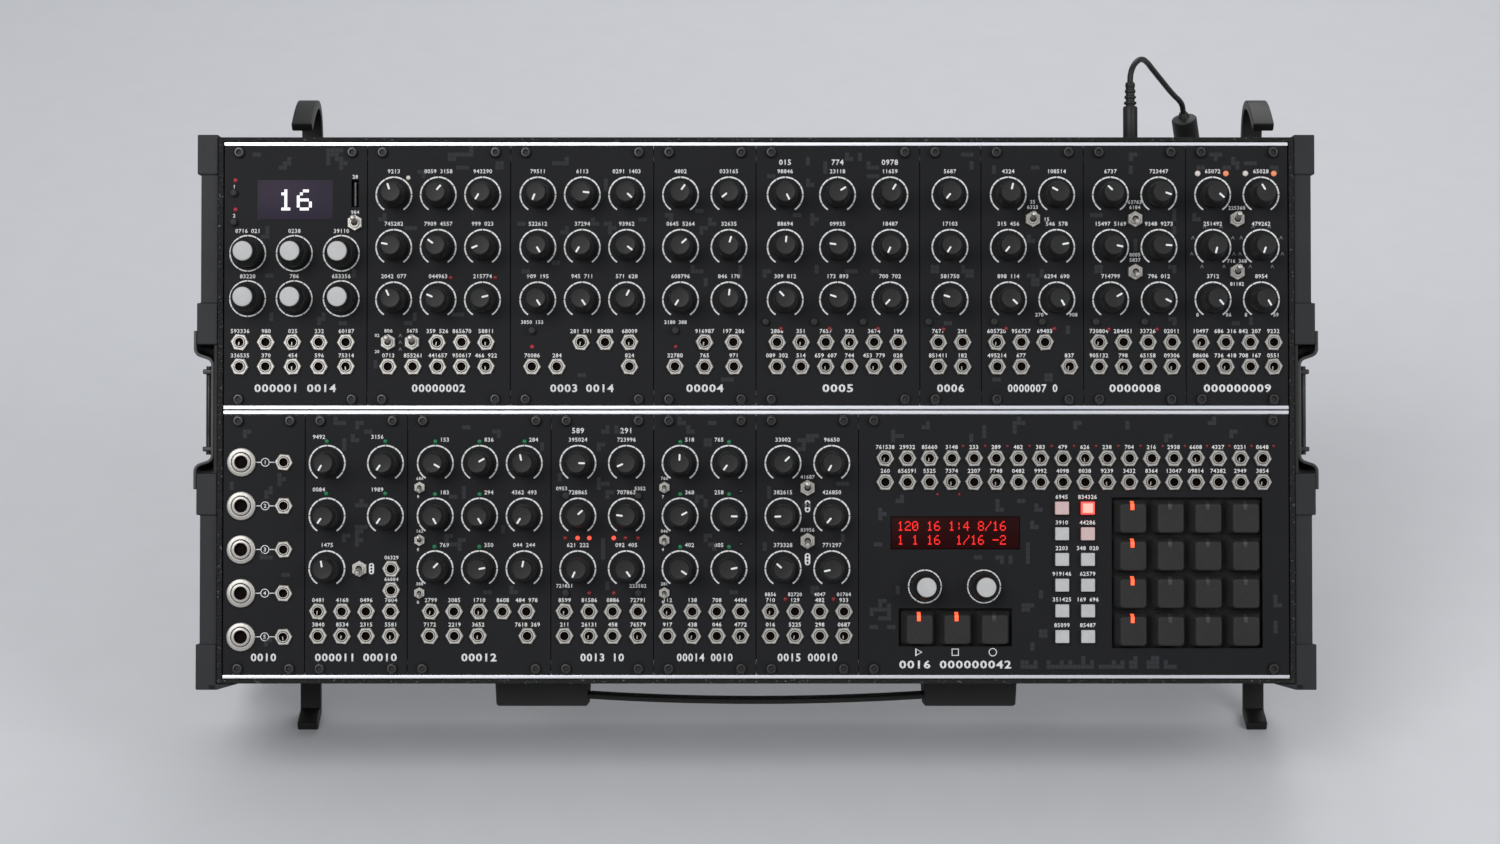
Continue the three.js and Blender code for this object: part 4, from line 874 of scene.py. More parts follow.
def makeBail(word, side):
    size = bailSize
    x = side * size["place"]
    ring = roundedLoop(size["half"], size["pivot"] - size["reach"], size["pivot"], size["corner"])
    parts = [rodAlong("ring", [(x, y, z) for y, z in ring], size["rod"], True)]
    for end in (1, -1):
        inner, outer = size["half"] - size["corner"], size["half"] + size["rod"] + size["pin"]
        line = [(x, end * y, size["pivot"]) for y in (inner, outer)]
        parts.append(rodAlong("pin", line, size["rod"]))
    item = coat(joinAll(f"bail_{word}_ring", parts), finish["rodSteel"])
    settle(smooth(item, 50), f"bail_{word}", "steel_rod", f"bail_{word}")


for word, side in (("left", -1), ("right", 1)):
    makeCheek(word, side)
    makeDish(word, side)
    makeBail(word, side)
print("sides made")

# Carrying strap under the case
strapSize = {
    "inner": 84 * mm, "outer": 131.5 * mm, "top": -135.75 * mm, "bottom": -148.75 * mm,
    "front": -27.4 * mm, "back": -57.6 * mm, "middle": -143.85 * mm, "sag": 2.6 * mm, "bends": 12,
    "bandFront": -30 * mm, "bandBack": -55 * mm, "thick": 2.6 * mm, "tuck": 6 * mm,
    "bandEdge": 0.8 * mm, "taper": (0.98, 0.86), "mouth": (2.2 * mm, -1.2 * mm),
    "capEdge": 1.5 * mm,
    "head": {
        "sides": 20, "rings": [(3.4, 0), (3.4, 0.5), (2.6, 1), (1.3, 1), (1.2, -0.2)],
        "shares": (0.3, 0.7), "sunk": 0.7 * mm, "flat": 0.6,
    },
}


def makeStrap():
    size, headSize = strapSize, strapSize["head"]
    reach = size["inner"]
    line = [(-reach - size["tuck"], size["middle"])]
    for index in range(-size["bends"], size["bends"] + 1):
        share = index / size["bends"]
        line.append((share * reach, size["middle"] - size["sag"] * (1 - share * share)))
    line.append((reach + size["tuck"], size["middle"]))
    band = foldedStrip("strap_band_web", line, size["bandBack"], size["bandFront"],
                       size["thick"], size["bandEdge"])
    band.data.transform(turnFlat)
    faceOutwards(band)
    settle(coat(evenOut(band), finish["strapWeave"]), "case", "strap_black", "strap_band")
    for word, side in (("left", -1), ("right", 1)):
        cap = block(f"strap_cap_{word}_body", mirrored(side, size["inner"], size["outer"]),
                    (size["bottom"], size["top"]), (size["back"], size["front"]))
        startEdit(cap)
        chooseFaces(cap, lambda spot, way: way.y < -straight)
        spread(x=size["taper"][0], z=size["taper"][1])
        chooseFaces(cap, lambda spot, way: way.x * side < -0.7)    # the band goes in here
        bpy.ops.mesh.inset(thickness=size["mouth"][0], depth=size["mouth"][1])
        endEdit()
        soften(cap, size["capEdge"], 3)
        parts = [coat(cap, finish["capRubber"])]
        for share in headSize["shares"]:
            head = turnedForm("head", inMm(headSize["rings"]), headSize["sides"])
            across = size["inner"] + share * (size["outer"] - size["inner"])
            spot = Matrix.Translation((side * across, size["bottom"] + headSize["sunk"],
                                       (size["front"] + size["back"]) / 2))
            head.data.transform(spot @ Matrix.Rotation(math.pi / 2, 4, "X")
                                @ Matrix.Scale(headSize["flat"], 4, (0, 0, 1)))
            parts.append(coat(head, finish["screwSteel"]))
        settle(evenOut(joinAll(cap.name, parts)), "case", "strap_black", f"strap_cap_{word}")


makeStrap()
print("strap made")

# Stand: two hooked arms and a folding prop behind them
standSize = {
    "left": -235 * mm, "right": 262.9 * mm, "bar": 4.6 * mm, "wide": 10.8 * mm,
    "barEdge": 0.8 * mm, "setback": -102.6 * mm, "crest": 28.6 * mm, "nose": 12.4 * mm,
    "noseDepth": -63 * mm, "crestDepth": -93 * mm, "toe": 14.5 * mm, "toeRise": 21 * mm,
    "ledge": 30 * mm, "ledgeWide": 7.6 * mm, "ledgeThick": 4 * mm, "ledgeGap": 0.3 * mm,
    "ledgeEdge": 0.5 * mm, "lug": 14 * mm, "lugThick": 4 * mm, "lugEdge": 1.2 * mm,
    "pivot": 60 * mm, "pivotDepth": -109.5 * mm, "pin": 3 * mm, "pinEase": 0.4 * mm,
    "head": 4.6 * mm, "headThick": 1.6 * mm, "legThick": 4 * mm, "legRoom": 0.8 * mm,
    "legEdge": 0.7 * mm, "gripEase": 0.5 * mm, "gripSides": 28,
}


def hookLine(pieces=16):    # from the toe up the back and over in a curve of four points
    size = standSize
    top = caseSize["halfHeight"]
    crest = top + size["crest"]
    ways = [(top, size["setback"]), (crest + size["nose"], size["setback"]),
            (crest, size["crestDepth"] + size["nose"]), (top + size["nose"], size["noseDepth"])]
    bend = (-top - size["toeRise"], size["setback"])
    tip = (bend[0] - leanOut * size["toe"], bend[1] + leanUp * size["toe"])
    made = [tip, bend]
    for index in range(pieces + 1):
        t = index / pieces
        parts = [(1 - t) ** 3, 3 * t * (1 - t) ** 2, 3 * t * t * (1 - t), t ** 3]
        made.append(tuple(sum(part * way[axis] for part, way in zip(parts, ways))
                          for axis in (0, 1)))
    return made


def pinAcross(name, x0, x1, y, z, radius, ease, sides=24):
    low, high = sorted((x0, x1))
    pin = turnedForm(name, [(radius - ease, 0), (radius, ease), (radius, high - low - ease),
                            (radius - ease, high - low)], sides)
    pin.data.transform(Matrix.Translation((low, y, z)) @ Matrix.Rotation(math.pi / 2, 4, "Y"))
    return pin


def makeArm(word):
    size = standSize
    middle = size[word]
    inward = -math.copysign(1, middle)
    low, high = around(middle, size["wide"])
    under = -caseSize["halfHeight"] - size["ledgeGap"]
    inner = middle + inward * size["wide"] / 2
    outer = inner - inward * size["lugThick"]
    shoulder = inner + inward * (size["legThick"] + size["legRoom"])
    tip = shoulder + inward * size["headThick"]
    pivot = (size["pivot"], size["pivotDepth"])
    parts = [
        foldedStrip("bar", hookLine(), low, high, size["bar"], size["barEdge"]),
        block("ledge", around(middle, size["ledgeWide"]), (under - size["ledgeThick"], under),
              (size["setback"], size["setback"] + size["ledge"]), size["ledgeEdge"]),
        block("lug", sorted((inner, outer)), around(size["pivot"], size["lug"]),
              (size["pivotDepth"] - size["lug"] / 2, size["setback"]), size["lugEdge"], 3),
        pinAcross("pin", outer, tip, *pivot, size["pin"], size["pinEase"]),
        pinAcross("head", shoulder, tip, *pivot, size["head"], size["pinEase"]),
    ]
    item = coat(joinAll(f"stand_arm_{word}_bar", parts), finish["standPaint"])
    settle(evenOut(item), "case", "stand_metal", f"stand_arm_{word}")


def makeStand():
    size = standSize
    for word in ("left", "right"):
        makeArm(word)
        leg = fromSolid(f"prop_leg_{word}_bar", f"prop_leg_{word}", size["legEdge"])
        coat(leg, finish["standPaint"])
        settle(leg, "prop", "stand_metal", f"prop_leg_{word}", place=asBuilt)
    low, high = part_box("prop_bar")
    middle = (low + high) / 2
    bar = pinAcross("prop_bar_round", low.x, high.x, middle.y, middle.z,
                    (high.z - low.z) / 2, size["gripEase"], size["gripSides"])
    settle(coat(bar, finish["standPaint"]), "prop", "steel_rod", "prop_bar", place=asBuilt)


makeStand()
print("stand made")

# Controls: each kind is modelled once, standing on the panel's face at the origin
knobForm = {
    "sides": 28,
    "rings": [(6.2, 0.35), (6.5, 0.65), (6.5, 4.3), (6.3, 4.85), (5.95, 5.15), (4.98, 15.7),
              (4.8, 16.25), (4.4, 16.5), (3.9, 16.42), (1, 16.38)],
    "pointer": {"up": 2.75, "half": (0.45, 1.65), "low": 16.1, "high": 16.68, "round": 0.42},
}


def makePointer():
    size = knobForm["pointer"]
    bar = boxRound("pointer", (0, size["up"] * mm), *size["half"], size["low"], size["high"])
    return coat(smooth(bevelCorners(bar, size["round"], 3)), finish["pointerPaint"])


def makeKnob():
    return joinAll("knob", [turnedPiece("knob", knobForm, "knobPlastic"), makePointer()])


encoderForm = {
    "sides": 32, "cap": 4.85, "capLow": 15.42,
    "rings": [(6.7, 0.35), (7, 0.7), (7, 9.4), (6.75, 9.95), (6.35, 10.2), (5.2, 15.2),
              (5.05, 15.45), (4.8, 15.45), (4.8, 16.1), (4.6, 16.4), (4.1, 16.5), (1, 16.46)],
}


def makeEncoder():
    body = turnedPiece("encoder", encoderForm, "knobPlastic")
    return coatRound(body, "dialCap", encoderForm["cap"], floor=encoderForm["capLow"])


def sixSided(name, size):   # a nickel nut of six sides whose inner rings are round
    item = begin(name, bpy.ops.mesh.primitive_circle_add, vertices=6,
                 radius=size["radius"] * mm, fill_type="NOTHING")
    startEdit(item)
    bpy.ops.mesh.select_mode(type="EDGE")
    bpy.ops.mesh.select_all(action="SELECT")
    bpy.ops.mesh.subdivide(number_cuts=1)
    bpy.ops.mesh.select_all(action="SELECT")
    bpy.ops.mesh.edge_face_add()
    bpy.ops.mesh.select_mode(type="FACE")
    for index, (rise, share) in enumerate(size["steps"]):
        raiseFaces(z=rise * mm)
        spread(share, share)
        if index == size["round"]:
            bpy.ops.transform.tosphere(value=1)
    endEdit()
    faceOutwards(item)
    return coat(smooth(item), finish["nutNickel"])


# A nut's steps are how far it rises and how much it narrows. The step called round makes
# its ring a circle, and the groove between the nut and the socket in it is coloured dark, painted
# shade.
jackForm = {
    "turns": (7, 17), "springTurns": (1, 5), "springJitter": 4,
    "springs": (0, 3), "springEach": 7,    # two in about seven sockets show a spring
    "radius": 4.5, "round": 2, "dark": 2.05, "darkRoof": 1.95, "groove": (2.72, 3), "jitter": 0.7,
    "steps": [(1.45, 1), (0.35, 0.92), (0, 0.78), (-0.3, 0.93), (0.75, 0.96), (0.15, 0.95),
              (0, 0.87), (-0.35, 0.94), (-8, 1)],
    "contact": {"middle": (-0.4 * mm, -0.75 * mm), "half": (0.25, 0.85), "low": 0.2, "high": 0.8},
}


def makeJack():
    size = jackForm
    nut = coatRound(sixSided("jack", size), "paintedGrooveShade", size["groove"][1], size["groove"][0])
    return coatRound(nut, "socketBlack", size["dark"], roof=size["darkRoof"])


largeJackForm = {
    "sides": 28, "dark": 3.19, "groove": (4.66, 5.1),
    "rings": [(7.1, 0), (7.1, 1.5), (6.95, 1.85), (6.5, 2.1), (5.1, 2.1), (4.85, 1.7),
              (4.62, 2.7), (4.4, 2.85), (3.5, 2.85), (3.2, 2.5), (3.15, -7.8)],
}
screwForm = {
    "sides": 16, "hex": 1.44, "turn": 23,    # each head is turned that much further
    "rings": [(2.75, 0), (2.75, 1.2), (2.55, 1.9), (2.1, 2.3), (1.5, 2.35), (1.38, 2.2), (1.34, 1)],
}
buttonForm = {
    "sides": 16, "sunk": 1.6, "rings": [(1.8, 0), (1.8, 2.1), (1.6, 2.45), (1.2, 2.6), (0.5, 2.55)],
}
lampForm = {"sides": 12, "rings": [(1.08, 0), (1.08, 0.25), (0.84, 0.6), (0.36, 0.8)]}


def makeContact():    # the spring that shows in some sockets
    size = jackForm["contact"]
    item = boxRound("contact", size["middle"], *size["half"], size["low"], size["high"])
    return coat(item, finish["nutNickel"])


def makeLargeJack():
    size = largeJackForm
    nut = turnedPiece("largeJack", size, "nutNickel")
    # its groove is coloured dark too, painted shade
    coatRound(nut, "paintedGrooveShade", size["groove"][1], size["groove"][0])
    return coatRound(nut, "socketBlack", size["dark"])


# The hex socket is coloured near black, painted shade in the recess.
def makeScrew():
    return coatRound(turnedPiece("screw", screwForm, "screwSteel"), "paintedRecessShade", screwForm["hex"])


toggleForm = {
    "radius": 4.1, "round": 2, "pivot": 1.3, "lean": 13, "dark": 1.75, "sides": 14, "small": 0.72,
    "steps": [(1.9, 1), (0.4, 0.92), (0, 0.72), (0.9, 1), (0.2, 0.92), (0, 0.72), (-0.8, 0.8)],
    "rings": [(0.9, -1), (1.1, 0), (1.2, 4), (1.42, 8), (1.36, 8.9), (1.05, 9.4), (0.5, 9.6)],
}


def makeLever(lean):
    lever = turnedPiece("lever", toggleForm, "nutNickel")
    lever.data.transform(Matrix.Translation((0, 0, toggleForm["pivot"] * mm))
                         @ Matrix.Rotation(-angleOf(lean), 4, "X"))
    return lever


# The hollow of the bush round the lever is coloured near black, painted shade.
def makeToggleBush():
    return coatRound(sixSided("bush", toggleForm), "paintedRecessShade", toggleForm["dark"])


def makeToggle(lean):
    return joinAll("toggle", [makeToggleBush(), makeLever(lean)])


keyForm = {
    "base": 8.5, "topX": 6.3, "topY": 7.1, "high": 5.6, "corner": 1.7, "edge": 0.7, "rim": 1.1,
    "lean": (0.9, -1),    # how far the top stands from the middle
    "dip": 0.1,
    "bar": {
        "half": 0.9, "aside": 0.45, "line": [(3.2, 0.06), (5.9, 0.06), (7.45, -3.4)],
        "thick": 0.3, "edge": 0.08,
    },
}


def makeKeyCap(material):
    size, bar = keyForm, keyForm["bar"]
    cap = boxRound("key", (0, 0), size["base"], size["base"], -size["high"], 0)
    startEdit(cap)
    chooseFaces(cap, lambda spot, way: way.z > straight)
    spread(size["topX"] / size["base"], size["topY"] / size["base"])
    shift(size["lean"][0] * mm, size["lean"][1] * mm)
    chooseEdges(cap, lambda spot, way: abs(way.z) > 0.5)
    bpy.ops.mesh.bevel(offset=size["corner"] * mm, segments=4)
    endEdit()
    soften(cap, size["edge"] * mm, 3, 50)
    startEdit(cap)
    chooseFaces(cap, lambda spot, way: way.z > 0.99 and spot.z > -0.01 * mm)
    bpy.ops.mesh.inset(thickness=size["rim"] * mm)
    shift(z=-size["dip"] * mm)
    endEdit()
    left = size["lean"][0] - bar["aside"] - bar["half"]
    strip = foldedStrip("bar", inMm(bar["line"]), left * mm, (left + 2 * bar["half"]) * mm,
                        bar["thick"] * mm, bar["edge"] * mm)
    return joinAll("key", [coat(evenOut(cap, 50), finish["keyPlastic"]),
                           coat(strip, finish[material])])


squareForm = {
    "half": (3.4, 3.2), "low": -0.1, "high": 2.4, "rim": 0.9, "dip": 0.15, "edge": 0.4, "core": 2.2,
}


def makeSquare(material):
    size = squareForm
    cap = boxRound("square", (0, 0), *size["half"], size["low"], size["high"])
    startEdit(cap)
    chooseFaces(cap, lambda spot, way: way.z > straight)
    bpy.ops.mesh.inset(thickness=size["rim"] * mm, depth=-size["dip"] * mm)
    endEdit()
    coat(evenOut(soften(cap, size["edge"] * mm, 3)), finish[material])
    if material == "redCap":    # a paler core where the lamp is
        coatWhere(cap, finish["redCore"], lambda spot, way: way.z > straight
                  and max(abs(spot.x), abs(spot.y)) < size["core"] * mm)
    return cap


# Ink: thin shapes that stand 0.05 mm proud of the panel. Sizes are in millimetres, and
# angles in degrees.
ink = {
    "low": -0.02, "high": 0.05, "arcGap": 2.2,
    "arcs": {    # radius, width of the line, half the opening below and number of parts
        "arc": (9.15, 0.74, 32, 10), "ring": (9.15, 0.66, 0, 12), "smallRing": (8.4, 0.6, 0, 12),
    },
    "rings": {    # radius, width of the line and sides
        "disc": (2.15, 0.36, 24), "triangle": (2.3, 0.8, 3), "box": (2.5, 0.55, 4),
        "circle": (2.05, 0.4, 24),
    },
    "pill": {"half": (1.35, 3), "round": 1.3, "hole": 0.62, "holeStep": 1.7, "holeHigh": 0.07},
    "peak": {"half": (0.13, 0.85), "aside": 0.34, "lean": 24},
    "digit": {"bold": 0.026, "tall": 0.69},    # tall is how high a numeral of size 1 stands
}


def inkedBlock(name, halfX, halfY, material):
    return coat(boxRound(name, (0, 0), halfX, halfY, ink["low"], ink["high"]), finish[material])


def makeRing(name, radius, line, sides):    # its floor is sunk in the panel
    low, high = ink["low"], ink["high"]
    rings = [(radius, low), (radius, high), (radius - line, high), (radius - line, low * 2)]
    return coat(turnedForm(name, inMm(rings), sides), finish["whitePrint"])


def makeArc(name, radius, line, opening, parts):    # a dial's ring, with a fine gap at each mark
    outer, line = radius * mm, line * mm
    step, gap = (360 - 2 * opening) / parts, ink["arcGap"]
    piece = begin("arcPiece", bpy.ops.mesh.primitive_plane_add, size=1,
                  rotation=(math.pi / 2, 0, 0))
    bpy.ops.object.transform_apply(rotation=True)
    startEdit(piece)
    spread(line, 1, (ink["high"] - ink["low"]) * mm)
    shift(outer - line / 2, 0, (ink["high"] + ink["low"]) / 2 * mm)
    bpy.ops.mesh.spin(steps=4, angle=angleOf(step - gap), center=(0, 0, 0), axis=(0, 0, 1))
    bpy.ops.mesh.select_all(action="SELECT")
    bpy.ops.mesh.remove_doubles(threshold=mergeRoom)
    bpy.ops.mesh.fill_holes(sides=4)
    bpy.ops.mesh.normals_make_consistent(inside=False)
    endEdit()
    backwards = max(vert.co.y for vert in piece.data.vertices) <= 1e-6    # the spin went clockwise
    keepMaster(coat(piece, finish["whitePrint"]))
    first = -90 + opening + gap / 2 + (step - gap if backwards else 0)
    return copiesOf(name, [(piece, Matrix.Rotation(angleOf(first + step * index), 4, "Z"))
                           for index in range(parts)])


def makePill():    # a rounded tag with three holes
    size = ink["pill"]
    parts = [bevelCorners(inkedBlock("pill", *size["half"], "whitePrint"), size["round"], 5)]
    for index in (-1, 0, 1):
        dot = turnedForm("dot", inMm([(size["hole"], 0), (size["hole"], size["holeHigh"])]), 12)
        dot.data.transform(moved(y=index * size["holeStep"] * mm))
        parts.append(coat(dot, finish["panelPaint"]))
    return joinAll("pill", parts)


def makeSign():    # a small peak, as beside a wave's dial
    size = ink["peak"]
    bars = []
    for side in (-1, 1):
        stroke = inkedBlock("stroke", *size["half"], "greySign")
        stroke.data.transform(moved(x=side * size["aside"] * mm, turn=angleOf(side * size["lean"])))
        bars.append(stroke)
    return joinAll("peak", bars)


def makeDigit(sign):
    item = begin(f"numeral{sign}", bpy.ops.object.text_add)
    item.data.body, item.data.size = sign, 1
    item.data.resolution_u, item.data.offset = 2, ink["digit"]["bold"]
    item.data.align_x = "CENTER"
    pickUp(item)
    bpy.ops.object.convert(target="MESH")
    item = bpy.context.object
    item.data.transform(moved(y=-0.5, scale=1 / ink["digit"]["tall"]))
    faceOutwards(change(item, "SOLIDIFY", thickness=(ink["high"] - ink["low"]) * mm, offset=1))
    low = min(vert.co.z for vert in item.data.vertices)
    item.data.transform(moved(z=ink["low"] * mm - low))
    return coat(item, finish["whitePrint"])


# One of each kind. The dash is a unit square, stretched where it is used.
kinds = {
    "knob": makeKnob(), "encoder": makeEncoder(), "jack": makeJack(), "largeJack": makeLargeJack(),
    "screw": makeScrew(), "button": turnedPiece("button", buttonForm, "keyPlastic"),
    "toggleUp": makeToggle(toggleForm["lean"]), "toggleDown": makeToggle(-toggleForm["lean"]),
    "key": makeKeyCap("clearBar"), "litKey": makeKeyCap("barGlow"),
    "frostedCap": makeSquare("frostedCap"), "pinkCap": makeSquare("pinkCap"),
    "contact": makeContact(), "pill": makePill(), "peak": makeSign(),
    "dash": inkedBlock("dash", 0.5, 0.5, "whitePrint"),
    "pixel": inkedBlock("pixel", 1, 1, "greyPrint"),
}
for name, facts in ink["arcs"].items():
    kinds[name] = makeArc(name, *facts)
for name, facts in ink["rings"].items():
    kinds[name] = makeRing(name, *facts)
for shade in ("red", "dim", "dull", "amber", "pale", "green", "dark"):
    kinds[shade] = turnedPiece("lamp", lampForm, f"{shade}Glow")
for sign in "0123456789":
    kinds[sign] = makeDigit(sign)
for item in kinds.values():
    keepMaster(item)
print("controls made", len(kinds))

